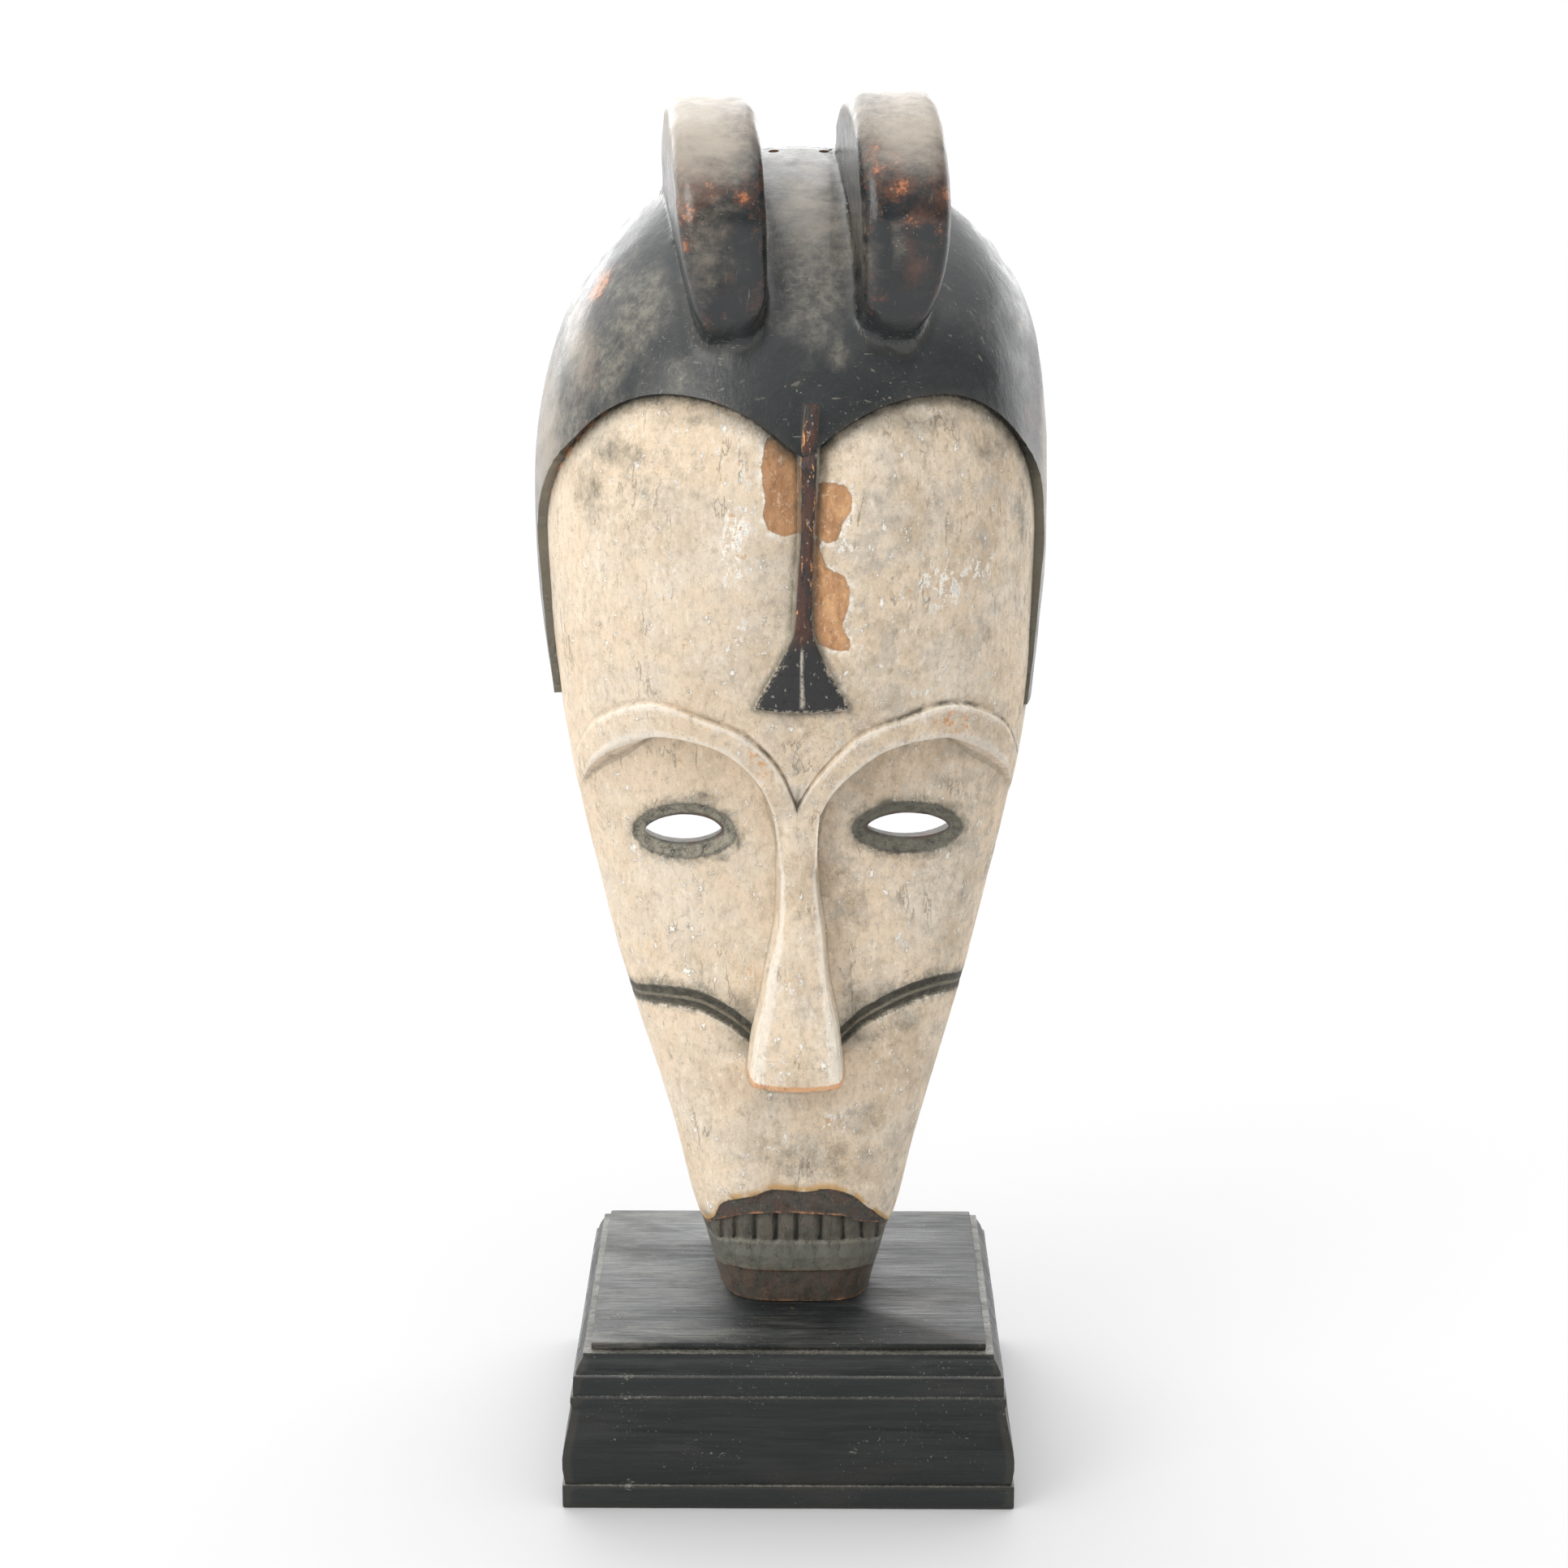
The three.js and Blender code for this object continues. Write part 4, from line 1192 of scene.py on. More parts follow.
@dataclass(frozen=True)
class StainFinish:
    """Blackened wood, polished by handling and worn to red-brown wood on its edges."""

    name: str
    black: tuple = paint(40, 43, 44)
    dusty: tuple = paint(88, 86, 79)
    brown: tuple = paint(74, 52, 44)
    orange: tuple = paint(184, 116, 78)
    pale: tuple = paint(170, 162, 146)
    # Pale worn colour, also used for painted highlight and sheen.
    bleached: tuple = paint(158, 148, 134)
    olive: tuple = paint(112, 108, 94)
    wear: float = 0.35
    # How strongly the dusty colour shows where dust and painted sheen lie.
    dust: float = 0.5
    gloss: float = 0.36
    hollows: float = 0.5

    def material(self) -> bpy.types.Material:
        """The stained wood's material.

        Returns:
            The material.
        """
        b = Bench(self.name)
        fray = b.sum(b.grain(2.4, 5, 0.78, shift=2.6), -0.5)
        # Dust, and painted sheen on the crest tops and the cap's left flank, mixed towards the dusty colour.
        dust_and_sheen_level = b.sum(b.attribute("dust"), b.times(b.sum(b.grain(26, 5, 0.66, shift=1.3), -0.5), 1.5))
        dull = b.step(dust_and_sheen_level, 0.15, 0.85)
        mottled = b.step(b.grain(5, 6, 0.72, shift=6.1), 0.36, 0.66, 0.25, 1.0)
        colour = b.blend(b.times(dull, mottled, self.dust * 1.7), self.black, self.dusty)
        reddish = b.step(
            b.sum(b.attribute("brown"), b.times(b.sum(b.grain(15, 5, 0.66, shift=7.4), -0.5), 1.6)), 0.25,
            0.75,
        )
        colour = b.blend(b.times(reddish, 0.85), colour, self.brown)
        rubbed = b.sum(b.attribute("wear"), b.times(b.attribute("arris"), self.wear))
        patchy = b.sum(
            b.sum(rubbed, b.times(fray, 0.75)), b.times(b.sum(b.grain(9, 4, 0.65, shift=5.5), -0.5), 0.9),
        )
        colour = b.blend(b.step(patchy, 0.34, 0.56, 0.0, 0.85), colour, self.brown)
        colour = b.blend(
            b.times(
                b.step(patchy, 0.54, 0.72, 0.0, 0.95),
                b.step(b.grain(3.2, 5, 0.8, shift=7.3), 0.40, 0.54, 0.2, 1.0),
            ),
            colour, self.orange,
        )
        # Paler worn wood, and painted highlight and sheen on the crest tops, the dome top, the cap's flanks
        # and the left crest's dimple.
        faded_and_highlit = b.sum(
            b.attribute("bleached"),
            b.times(b.sum(b.grain(11, 6, 0.72, stretch=(0.6, 1, 1), shift=4.9), -0.5), 1.3),
        )
        colour = b.blend(b.step(faded_and_highlit, 0.1, 1.1, 0.0, 0.9), colour, self.bleached)
        crevice = b.attribute("crevice")
        colour = b.blend(
            b.step(b.sum(crevice, b.times(fray, 0.6)), 0.25, 0.9, 0.0, self.hollows), colour, self.dusty,
        )
        specks = b.times(
            b.step(b.grain(1.6, 2, 0.5, shift=9.2), 0.67, 0.70),
            b.step(b.grain(50, 3, 0.5, shift=3.8), 0.5, 0.6),
        )
        colour = b.blend(b.times(specks, 0.45), colour, self.pale)
        cut = b.times(
            b.attribute("wall"), b.step(b.axis(2), 0.60, 0.56, 0.1, 1.0),
            b.step(b.grain(5, 5, 0.7, shift=1.6), 0.3, 0.5, 0.55, 1.0),
        )
        colour = b.blend(b.times(cut, 0.9), colour, self.olive)
        for shift, stretch in ((6.6, (1, 1, 0.07)), (2.9, (0.12, 0.5, 1)), (4.8, (0.2, 1, 0.16))):
            scratch = b.step(b.grain(1.4, 2, 0.6, stretch=stretch, shift=shift), 0.66, 0.72, 0.0, 0.3)
            scratch = b.times(scratch, b.step(b.grain(34, 2, 0.5, shift=shift + 0.9), 0.46, 0.6))
            colour = b.blend(scratch, colour, self.pale)
        relief = b.sum(
            b.times(b.grain(3.5, 5, 0.7, stretch=(1, 1, 0.35), shift=4.1), 0.5),
            b.times(b.grain(13, 4, 0.6), 0.5),
        )
        polish = b.step(b.grain(16, 5, 0.62, shift=8.8), 0.3, 0.75, self.gloss - 0.08, self.gloss + 0.12)
        roughness = b.sum(polish, b.times(dull, 0.12))
        return b.finish(colour, roughness, relief, 0.5)


@dataclass(frozen=True)
class InsideFinish:
    """Bare, smoke-brown wood of the hollow and the rim."""

    brown: tuple = paint(118, 88, 62)
    dark: tuple = paint(66, 48, 36)
    pale: tuple = paint(160, 128, 94)

    def material(self) -> bpy.types.Material:
        """The hollow's material.

        Returns:
            The material.
        """
        b = Bench("hollowed_wood")
        streaks = b.grain(9, 5, 0.6, stretch=(1, 1, 0.14), shift=2.0)
        colour = b.blend(b.step(streaks, 0.35, 0.7), self.dark, self.brown)
        colour = b.blend(b.step(b.grain(40, 4, 0.6, shift=4.0), 0.5, 0.7, 0.0, 0.55), colour, self.dark)
        handled = b.sum(b.axis(1), b.times(b.sum(b.grain(14, 5, 0.7, shift=3.1), -0.5), 0.012))
        colour = b.blend(b.step(handled, 0.052, 0.0625, 0.0, 0.6), colour, self.pale)
        colour = b.blend(
            b.step(b.grain(3, 5, 0.7, stretch=(1, 1, 0.1), shift=6.2), 0.5, 0.66, 0.0, 0.5), colour,
            self.dark,
        )
        relief = b.sum(b.times(streaks, 0.6), b.times(b.grain(3, 3, 0.6), 0.4))
        return b.finish(colour, 0.78, relief, 0.6)


@dataclass(frozen=True)
class PlinthFinish:
    """Black-stained wood with long grain, dust in its ledges and worn arrises."""

    name: str
    black: tuple = paint(10, 14, 14)
    lighter: tuple = paint(34, 39, 39)
    brown: tuple = paint(62, 57, 48)
    # Pale dust colour, also laid as the top board's film, whose fall from left to right is painted light.
    dust: tuple = paint(138, 136, 126)
    stain: tuple = paint(122, 98, 72)
    top: bool = False

    def material(self) -> bpy.types.Material:
        """The plinth's material.

        Returns:
            The material.
        """
        b = Bench(self.name)
        along = (0.05, 1, 1)
        streaks = b.grain(3.0, 6, 0.78, stretch=along, shift=1.0)
        broad = b.grain(26, 4, 0.6, stretch=(0.3, 1, 1), shift=2.3)
        lift = 1.0 if self.top else 0.7
        # On the top board, painted shade: its lighter grain fades to half strength towards the right.
        shaded = b.step(b.axis(0), 0.12, -0.10, 0.5, 1.0) if self.top else 1.0
        colour = b.blend(b.times(b.step(streaks, 0.34, 0.66, 0.0, lift), shaded), self.black, self.lighter)
        colour = b.blend(b.step(broad, 0.5, 0.7, 0.0, 0.4 if self.top else 0.2), colour, self.brown)
        fray = b.sum(b.grain(1.6, 3, 0.7, shift=3.9), -0.5)
        edge = b.attribute("edge")
        colour = b.blend(b.step(b.sum(edge, b.times(fray, 0.9)), 0.5, 1.0, 0.0, 0.4), colour, self.brown)
        ledge = b.attribute("ledge")
        settled = b.step(b.sum(ledge, b.times(fray, 1.3)), 0.55, 1.05, 0.0, 0.55)
        settled = b.times(
            settled, b.step(b.grain(12, 5, 0.7, stretch=(0.4, 1, 1), shift=5.7), 0.36, 0.62, 0.3, 1.0),
        )
        colour = b.blend(settled, colour, self.dust)
        if self.top:
            # A film of dust on the top board that fades out towards the right, a fall from left to right
            # that is painted light.
            dust_film_and_light = b.step(b.grain(34, 6, 0.74, stretch=(0.4, 1, 1), shift=4.4), 0.42, 0.66, 0.0, 0.28)
            dust_film_and_light = b.times(
                dust_film_and_light, b.step(streaks, 0.36, 0.6, 0.2, 1.6), b.step(b.axis(0), 0.08, -0.10, 0.05, 1.0),
            )
            colour = b.blend(dust_film_and_light, colour, self.dust)
            spots = b.step(b.grain(5, 4, 0.7, shift=3.3), 0.66, 0.71, 0.0, 0.5)
            colour = b.blend(spots, colour, self.stain)
        chipped = b.sum(
            b.attribute("chipped"),
            b.times(b.sum(b.grain(1.5, 4, 0.8, stretch=(0.4, 1, 1), shift=7.7), -0.5), 2.6),
        )
        colour = b.blend(b.step(chipped, 0.62, 0.86, 0.0, 0.8), colour, self.dust)
        specks = b.times(
            b.step(b.grain(1.5, 2, 0.5, shift=8.2), 0.68, 0.71),
            b.step(b.grain(42, 3, 0.5, shift=6.8), 0.52, 0.62),
        )
        colour = b.blend(b.times(specks, 0.6 if self.top else 0.35), colour, self.dust)
        relief = b.sum(b.times(streaks, 0.7), b.times(b.grain(1.2, 3, 0.6, stretch=along), 0.3))
        roughness = b.step(b.grain(20, 4, 0.6, stretch=(0.3, 1, 1), shift=5.0), 0.3, 0.7, 0.30, 0.46)
        roughness = b.sum(roughness, b.step(streaks, 0.4, 0.62, 0.0, 0.16))
        b.shader.inputs["Specular IOR Level"].default_value = 0.42 if self.top else 0.5
        return b.finish(colour, roughness, relief, 0.7 if self.top else 0.3)


def store(mesh: bpy.types.Mesh, name: str, values: Array) -> None:
    """Keeps one number for each point of a mesh under a name."""
    layer = mesh.attributes.new(name, "FLOAT", "POINT")
    layer.data.foreach_set("value", np.ascontiguousarray(values, np.float32))


def spotted(points: Array, spots: tuple[tuple[float, ...], ...]) -> Array:
    """How strongly worn spots reach each point.

    Args:
        points: Places in millimetres, one row each.
        spots: Each spot's x, y and z, its reach and its strength.

    Returns:
        One value for each point.
    """
    worn = np.zeros(len(points))
    for x, y, z, reach, amount in spots:
        away = np.linalg.norm(points - (x, y, z), axis=1)
        worn = np.maximum(worn, amount * np.exp(-(away / reach) ** 2))
    return worn


def coordinates(mesh: bpy.types.Mesh) -> Array:
    """A mesh's points in millimetres, one row each.

    Args:
        mesh: The mesh.

    Returns:
        The points.
    """
    flat = np.empty(len(mesh.vertices) * 3, np.float32)
    mesh.vertices.foreach_get("co", flat)
    return flat.reshape(-1, 3).astype(float) / MM


def curvature(mesh: bpy.types.Mesh, rounds: int) -> Array:
    """How hollow the surface is around each point, in millimetres, negative where it bulges.

    Args:
        mesh: The mesh.
        rounds: How often each point is moved to the middle of its neighbours, which sets the reach.

    Returns:
        One value for each point.
    """
    points = coordinates(mesh)
    ends = np.empty(len(mesh.edges) * 2, np.int32)
    mesh.edges.foreach_get("vertices", ends)
    a, b = ends.reshape(-1, 2).T
    count = np.bincount(ends, minlength=len(points)).astype(float)
    moved = points.copy()
    for _ in range(rounds):
        total = np.stack([
            np.bincount(a, moved[b, k], len(points))
            + np.bincount(b, moved[a, k], len(points)) for k in range(3)
        ], axis=1)
        moved = total / np.maximum(count, 1)[:, None]
    normals = np.empty(len(points) * 3, np.float32)
    mesh.vertices.foreach_get("normal", normals)
    return ((moved - points) * normals.reshape(-1, 3)).sum(axis=1)


def store_shape(mesh: bpy.types.Mesh, reach: int, depth: float) -> Array:
    """Keeps where a mesh is hollow and where it has edges, each from 0 to 1.

    Args:
        mesh: The mesh.
        reach: How many neighbours away the shape is felt.
        depth: The hollow or edge, in millimetres, that counts as full.

    Returns:
        How hollow the surface is around each point, in millimetres.
    """
    bend = curvature(mesh, reach)
    store(mesh, "crevice", np.clip(bend / depth, 0, 1))
    store(mesh, "edge", np.clip(-bend / depth, 0, 1))
    return bend


def soften(mesh: bpy.types.Mesh, angle: float) -> None:
    """Shades a mesh smoothly but for edges sharper than an angle in degrees."""
    mesh.polygons.foreach_set("use_smooth", [True] * len(mesh.polygons))
    mesh.set_sharp_from_angle(angle=math.radians(angle))


@dataclass(frozen=True)
class Smudge:
    """A soft-edged oval mark on the front of the mask, in millimetres."""

    x: float
    z: float
    wide: float
    high: float
    amount: float = 1.0

    def at(self, x: Array, z: Array) -> Array:
        """The mark's strength at each place, from 0 to its amount."""
        return self.amount * np.exp(-((x - self.x) / self.wide) ** 2 - ((z - self.z) / self.high) ** 2)


@dataclass
class Mask:
    """The mask: one carved piece with its face, cap, crests, hollow and openings."""

    form: HeadForm = field(default_factory=HeadForm)
    columns: int = 216
    eyes: tuple[tuple[float, ...], ...] = (
        (-64.0, 380.5, 21.4, 9.6, 6.6, 0.072), (61.4, 383.1, 22.3, 8.5, 5.6, -0.05),
    )
    inset: float = 0.15
    lid_depth: float = 6.0
    lid_width: float = 8.8
    crest_round: float = 10.0
    crest_thick: float = 47.0
    crest_x: float = 48.0
    crest_aside: float = -2.0
    crest_skew: float = 0.05
    crest_foot: float = 652.0
    crest_middle: tuple[float, float] = (-14.0, 716.0)
    left_crest_lower: float = 3.0
    crest_outline: tuple[tuple[float, float], ...] = (
        (-54, 657), (-72, 664), (-83, 683), (-86, 704), (-88, 726), (-82, 750), (-66, 770), (-42, 782.5),
        (-12, 787.4), (18, 783), (42, 770), (56, 750), (58, 728), (48, 706), (14, 680), (-26, 654),
    )
    smudges: dict[str, tuple[tuple[float, ...], ...]] = field(default_factory=lambda: {
        # Dark smudges: dirt, and painted shade beside the nose's right side, on the right cheek and along
        # the lobes under the cap's border.
        "soot": (
            (-112, 575, 12, 26, 0.5), (-98, 598, 22, 12, 0.55), (-60, 618, 26, 6, 0.45),
            (60, 617, 36, 7, 0.5), (104, 598, 18, 12, 0.5), (124, 560, 6, 30, 0.5), (49, 398, 6, 5, 0.95),
            (-52, 403, 14, 4, 0.6), (-84, 398, 12, 8, 0.2), (-33, 376, 2.2, 6, 0.75), (-43, 367, 7, 3, 0.55),
            (22, 365, 9, 34, 0.34), (86, 395, 9, 5, 0.5), (90, 372, 8, 5, 0.4), (0, 404, 2.5, 8, 0.6),
            (-28, 285, 9, 9, 0.5), (-32, 256, 10, 7, 0.45), (34, 288, 12, 10, 0.5), (40, 262, 16, 8, 0.45),
            (60, 268, 18, 7, 0.4), (-100, 455, 26, 5, 0.2), (66, 305, 8, 5, 0.28), (4, 190, 46, 20, 0.42),
            (-84, 580, 42, 46, 0.33), (-62, 395.5, 17, 3.4, 0.6), (84, 345, 26, 40, 0.24),
            (20, 395, 9, 9, 0.15), (34, 212, 16, 14, 0.34), (28, 350, 10, 40, 0.34), (70, 350, 24, 24, 0.26),
            (-52, 145, 5, 6, 0.6),
        ),
        "flaking": (
            (-36, 555, 9, 34, 1.0), (-34, 505, 8, 20, 0.7), (74, 530, 16, 15, 1.0), (98, 535, 8, 9, 0.8),
            (22, 560, 9, 22, 0.6), (20, 212, 12, 7, 1.0), (-12, 196, 8, 8, 0.5), (-30, 330, 10, 20, 0.3),
            (60, 470, 22, 10, 0.4), (28, 495, 10, 14, 0.5), (-60, 610, 26, 6, 0.4), (0, 300, 14, 40, 0.3),
        ),
        "brown": (
            (-118, 640, 12, 26, 0.5), (-136, 530, 8, 50, 0.7), (-116, 600, 6, 16, 0.8),
            (-60, 745, 20, 26, 0.55), (60, 740, 24, 26, 0.6), (128, 610, 10, 30, 0.45),
            (52, 700, 14, 20, 0.4), (-44, 690, 12, 14, 0.4),
        ),
        # Paler worn wood, and painted highlight and sheen: crest tops, dome top, both flanks of the cap and
        # the left crest's dimple.
        "bleached": (
            (-56, 766, 26, 31, 1.0), (54, 768, 30, 24, 0.85), (-66, 742, 12, 20, 0.6),
            (2, 724, 24, 26, 0.75), (-139, 590, 10, 70, 1.0), (-124, 650, 12, 28, 0.65),
            (141, 570, 8, 80, 1.0), (124, 660, 8, 30, 0.3), (-58, 704, 9, 7, 0.5), (-58, 688, 12, 10, 0.25),
            (44, 712, 5, 14, 0.5),
        ),
        # Dust between and on the crests, and painted sheen on the crest tops and the cap's left flank.
        "dust": (
            (4, 700, 22, 44, 1.0), (-92, 672, 24, 26, 0.75), (-70, 640, 26, 16, 0.5),
            (98, 690, 20, 24, 0.25), (-58, 712, 14, 22, 0.6), (-54, 778, 34, 24, 1.3),
            (54, 780, 34, 20, 1.3), (16, 655, 7, 14, 0.7), (-126, 590, 14, 46, 1.1),
            (-112, 640, 16, 22, 0.9),
        ),
    })
    hole_radius: float = 3.0
    hole_line: float = 51.0
    top_hole_aside: float = 14.0
    side_hole_height: float = 549.0
    patches: tuple[tuple[tuple[float, float], ...], ...] = (
        ((-19.5, 609.3), (-15.7, 611.4), (-10.6, 610.2), (-4.9, 603), (2, 590), (2, 560), (-9.7, 558.6),
         (-17.5, 561.6), (-20.6, 570.3), (-19, 576.8), (-20.4, 585.3), (-21.8, 595.9)),
        ((9, 587), (22, 586.5), (26.5, 580), (26, 572), (22, 566), (19, 556), (13, 555), (7, 560)),
        ((5, 556), (9, 556), (11, 547), (14, 541), (23, 537), (26.5, 529), (25, 518), (21.5, 508),
         (26.5, 501), (26, 495), (19, 495), (10, 498), (7, 505)),
    )

    def slit(self, eye: tuple[float, ...], grow: float = 0.0) -> Outline:
        """An eye opening's outline in the front view, pointed at both ends.

        Args:
            eye: Its middle, half length, height above and below the corners, and slope.
            grow: How much larger each way.

        Returns:
            Its points, going round.
        """
        x, z, half, up, down, slope = eye
        turns = [k / 20 for k in range(20)]
        half += grow * 1.6
        upper = [(half * math.cos(math.pi * t), (up + grow) * math.sin(math.pi * t) ** 1.3) for t in turns]
        lower = [
            (-half * math.cos(math.pi * t), -(down + grow) * math.sin(math.pi * t) ** 1.3) for t in turns
        ]
        return [(x + a, z + b + a * slope) for a, b in upper + lower]

    def eye_distance(self, x: Array, z: Array) -> Array:
        """Distance to the nearer eye opening, negative inside it."""
        return np.minimum(*(away_from(x, z, self.slit(eye)) for eye in self.eyes))

    def lobe_outline(self) -> Outline:
        """The lower border of the cap round both forehead lobes, in the front view.

        Returns:
            The border's corner points.
        """
        half = [(0.0, 601.0)]
        for x in np.linspace(8, 70, 12):
            half.append((float(x), 631 - 25 * ((70 - x) / 62) ** 2.2))
        for turn in np.linspace(0, math.pi / 2, 20)[1:]:
            half.append((70 + 67 * math.sin(turn), 543 + 88 * math.cos(turn)))
        half += [(135.2, 520.0), (133.8, 500.0), (132.4, 480.0), (130.2, 455.0), (127.0, 430.0)]
        fuller = Curve(((430, 4.4), (455, 4.4), (500, 3.0), (560, 1.0), (600, 0)))
        narrower = Curve(((430, 0.6), (500, 0.9), (560, 1.6), (600, 0.6), (640, 0)))
        left = [(-x - float(fuller(z)), z) for x, z in half[:0:-1]]
        return left + [(x - float(narrower(z)), z) for x, z in half]

    def rows(self, x: Array) -> list[tuple[Array, int]]:
        """Heights that the face grid's rows follow, each with its count of rows below it.

        Args:
            x: Sideways places.

        Returns:
            Pairs of heights and counts, from the chin up.
        """
        form = self.form
        flat = np.zeros_like(x)
        under = np.maximum(form.brow_under(x), 398)
        top = np.maximum(form.brow_top(x), under + 5)
        slope = form.brow_slope(x)
        groove = form.groove(x)
        lip = form.lip_top(x)
        low = form.lip_bottom_edge(x)
        teeth = form.teeth_foot(x)
        chin = form.lip_foot(x)
        foot = np.maximum(462 + flat, top + 9)
        marks = [
            (form.chin_bottom + flat, 0), (chin - 0.5, 9), (chin + 2.2, 5), (teeth - 10, 6),
            (teeth + 1.2, 9), (low - 1.8, 8), (low + 0.6, 4), (lip - 1.5, 5), (lip + 1.5, 3),
            (239.4 + flat, 29), (244.6 + flat, 7), (groove - 7, 9), (groove + 7, 22), (360 + flat, 28),
            (402 + np.maximum(under - slope - 412, -30), 21), (under - slope, 9), (under + 0.2, 7),
            (top - 1.2, 6), (top + 4.5, 8), (foot - 4, 4), (foot, 5), (530 + flat, 26), (600 + flat, 30),
            (636 + flat, 15), (700 + flat, 8), (728 + flat, 5), (741 + flat, 4), (form.crown + flat, 3),
        ]
        for k in range(1, len(marks) - 1):
            height, count = marks[k]
            marks[k] = (np.maximum(height, marks[k - 1][0] + 0.04 * count), count)
        return marks

    def grid_place(self, across: Array, up: Array) -> tuple[Array, Array, Array]:
        """Where the face grid's points lie.

        Args:
            across: Places across the grid, 0 to 1 from rim to rim.
            up: Places up the grid, 0 to 1.

        Returns:
            Front-view x and z, and how much of the head's depth is left there.
        """
        form = self.form
        side = np.sign(across - 0.5)
        out = np.abs(across - 0.5) * 2
        flat_share, wall_share = 0.11, 0.19
        z = lerp(form.chin_bottom, form.crown, up)
        x = out * 60
        for _ in range(7):
            width = np.maximum(form.half_width(z), TINY)
            n = form.squareness(z)
            edge = np.where(z < 432, form.nose_half(z), form.ridge_half(z))
            edge = lerp(
                edge, lerp(form.nose_half(z), form.ridge_half(z), smooth(z, 402, 459)), smooth(z, 395, 410),
            )
            edge = np.minimum(edge - 0.4, width * 0.3)
            edge = lerp(16.0, edge, smooth(z, 170, 236))
            wall = np.minimum(lerp(3.4, 2.0, smooth(z, 402, 459)), width * 0.05)
            start = (edge + wall) / width
            angle = np.arctan2(start, (1 - start ** n) ** (1 / n))
            angle = lerp(angle, math.pi / 2, np.clip((out - wall_share) / (1 - wall_share), 0, 1))
            reach = (np.sin(angle) ** n + np.maximum(np.cos(angle), 0) ** n) ** (-1 / n)
            x = np.where(
                out < flat_share, edge * out / flat_share,
                edge + wall * (out - flat_share) / (wall_share - flat_share),
            )
            x = np.where(out > wall_share, width * reach * np.sin(angle), x)
            z = self.row_height(x * side, up)
        nearest = x[:, None] * side[:, None] - np.array(form.tooth_edges)[None, :]
        nearest = nearest[np.arange(len(x)), np.abs(nearest).argmin(axis=1)]
        pull = (
            0.72 * nearest * np.exp(-(nearest / 2.6) ** 2) * smooth(z, 126, 134) * (1 - smooth(z, 155, 165))
        )
        x = x * side - np.where(np.abs(x) < width - 4, pull, 0)
        left = np.where(out > 1 - TINY, 0, form.across(x, z))
        return x, z, left

    def row_height(self, x: Array, up: Array) -> Array:
        """Height of a grid row at a sideways place.

        Args:
            x: Sideways places.
            up: Places up the grid, from 0 to 1.

        Returns:
            Heights.
        """
        marks = self.rows(x)
        total = sum(count for _, count in marks)
        place = up * total
        z = marks[0][0]
        passed = 0
        for (low, _), (high, count) in zip(marks[:-1], marks[1:]):
            share = np.clip((place - passed) / count, 0, 1)
            z = np.where(place >= passed, lerp(low, high, share), z)
            passed += count
        return z

    def face_body(self) -> bpy.types.Object:
        """The carved head without its cap, as a closed body.

        Returns:
            The body.
        """
        form = self.form
        row_count = sum(count for _, count in self.rows(np.zeros(1)))
        bm, across, up = new_grid(self.columns, row_count)
        x, z, left = self.grid_place(across, up)
        forward = form.with_raised(x, z)
        eye = self.eye_distance(x, z)
        forward -= self.lid_depth * (1 - smooth(eye, -1.0, self.lid_width)) ** 0.8
        forward += 0.5 * np.exp(-((eye - self.lid_width - 0.6) / 1.4) ** 2)
        lobe = away_from(x, z, self.lobe_outline(), closed=False)
        forward -= (2.6 * np.exp(-lobe / 4.0) + 2.2 * np.exp(-lobe / 16)) * smooth(z, 510, 590)
        beside = np.maximum(np.abs(x - form.ridge_middle(z)) - form.ridge_half(z) - 0.8, 0)
        valley = 2.4 * np.exp(-beside / 3.6) * (beside > 0) * smooth(z, 488, 520) * (1 - smooth(z, 610, 628))
        forward -= valley * smooth(beside, 0, 1.2)
        points = np.stack([x, form.rim - (form.rim + forward) * left, z], axis=1)
        crust = 0.55 * fractal(points, 26, 3, 4.0) + 0.22 * fractal(points, 6.5, 3, 9.0)
        crust += 0.5 * tool_marks(points, 24, 2.0)
        crust *= smooth(left, 0.02, 0.25) * smooth(z, 96, 99)
        points[:, 1] -= crust * left ** 0.5
        points[:, 0] += crust * np.sign(x) * (1 - left) * 0.5 * smooth(left, 0, 0.1)
        lay(bm, form.stance(points))
        close_behind(bm, form.rim)
        return as_object(bm, "carved_mask", Zone.FACE)

    def cap_body(self) -> bpy.types.Object:
        """The cap: the head grown a little, less what shows the forehead.

        Returns:
            The body.
        """
        form = self.form
        bm, across, up = new_grid(150, 96)
        height = form.crown + form.cap
        z = lerp(form.cap_bottom, height, np.sin(up * math.pi / 2) ** 1.2)
        bare = form.bare_height(z, form.cap)
        angle = np.abs(across - 0.5) * math.pi
        n = form.squareness(z)
        reach = (np.sin(angle) ** n + np.maximum(np.cos(angle), 0) ** n) ** (-1 / n)
        left = np.where(angle > math.pi / 2 - TINY, 0, reach * np.cos(angle))
        thin = np.where(across < 0.5, 1.2, form.cap - 2.2) * (1 - smooth(z, form.cap_bottom - 10, 545))
        x = (
            (form.half_width(z, form.cap) - thin - self.inset) * reach * np.sin(angle)
            * np.sign(across - 0.5)
        )
        depth = (form.rim + form.forehead(bare) + form.cap_front) * (1 - smooth(z, height - 0.8, height))
        points = np.stack([x, form.rim - depth * left, z], axis=1)
        dents = 0.9 * tool_marks(points, 34, 5.0) + 0.5 * fractal(points, 40, 3, 1.0) - 0.7
        dents *= smooth(left, 0.0, 0.2) * (1 - smooth(z, height - 8, height))
        middle = np.array([0, 40, 520])
        towards = points - middle
        points += towards / np.linalg.norm(towards, axis=1)[:, None] * dents[:, None]
        lay(bm, form.stance(points))
        close_behind(bm, form.rim)
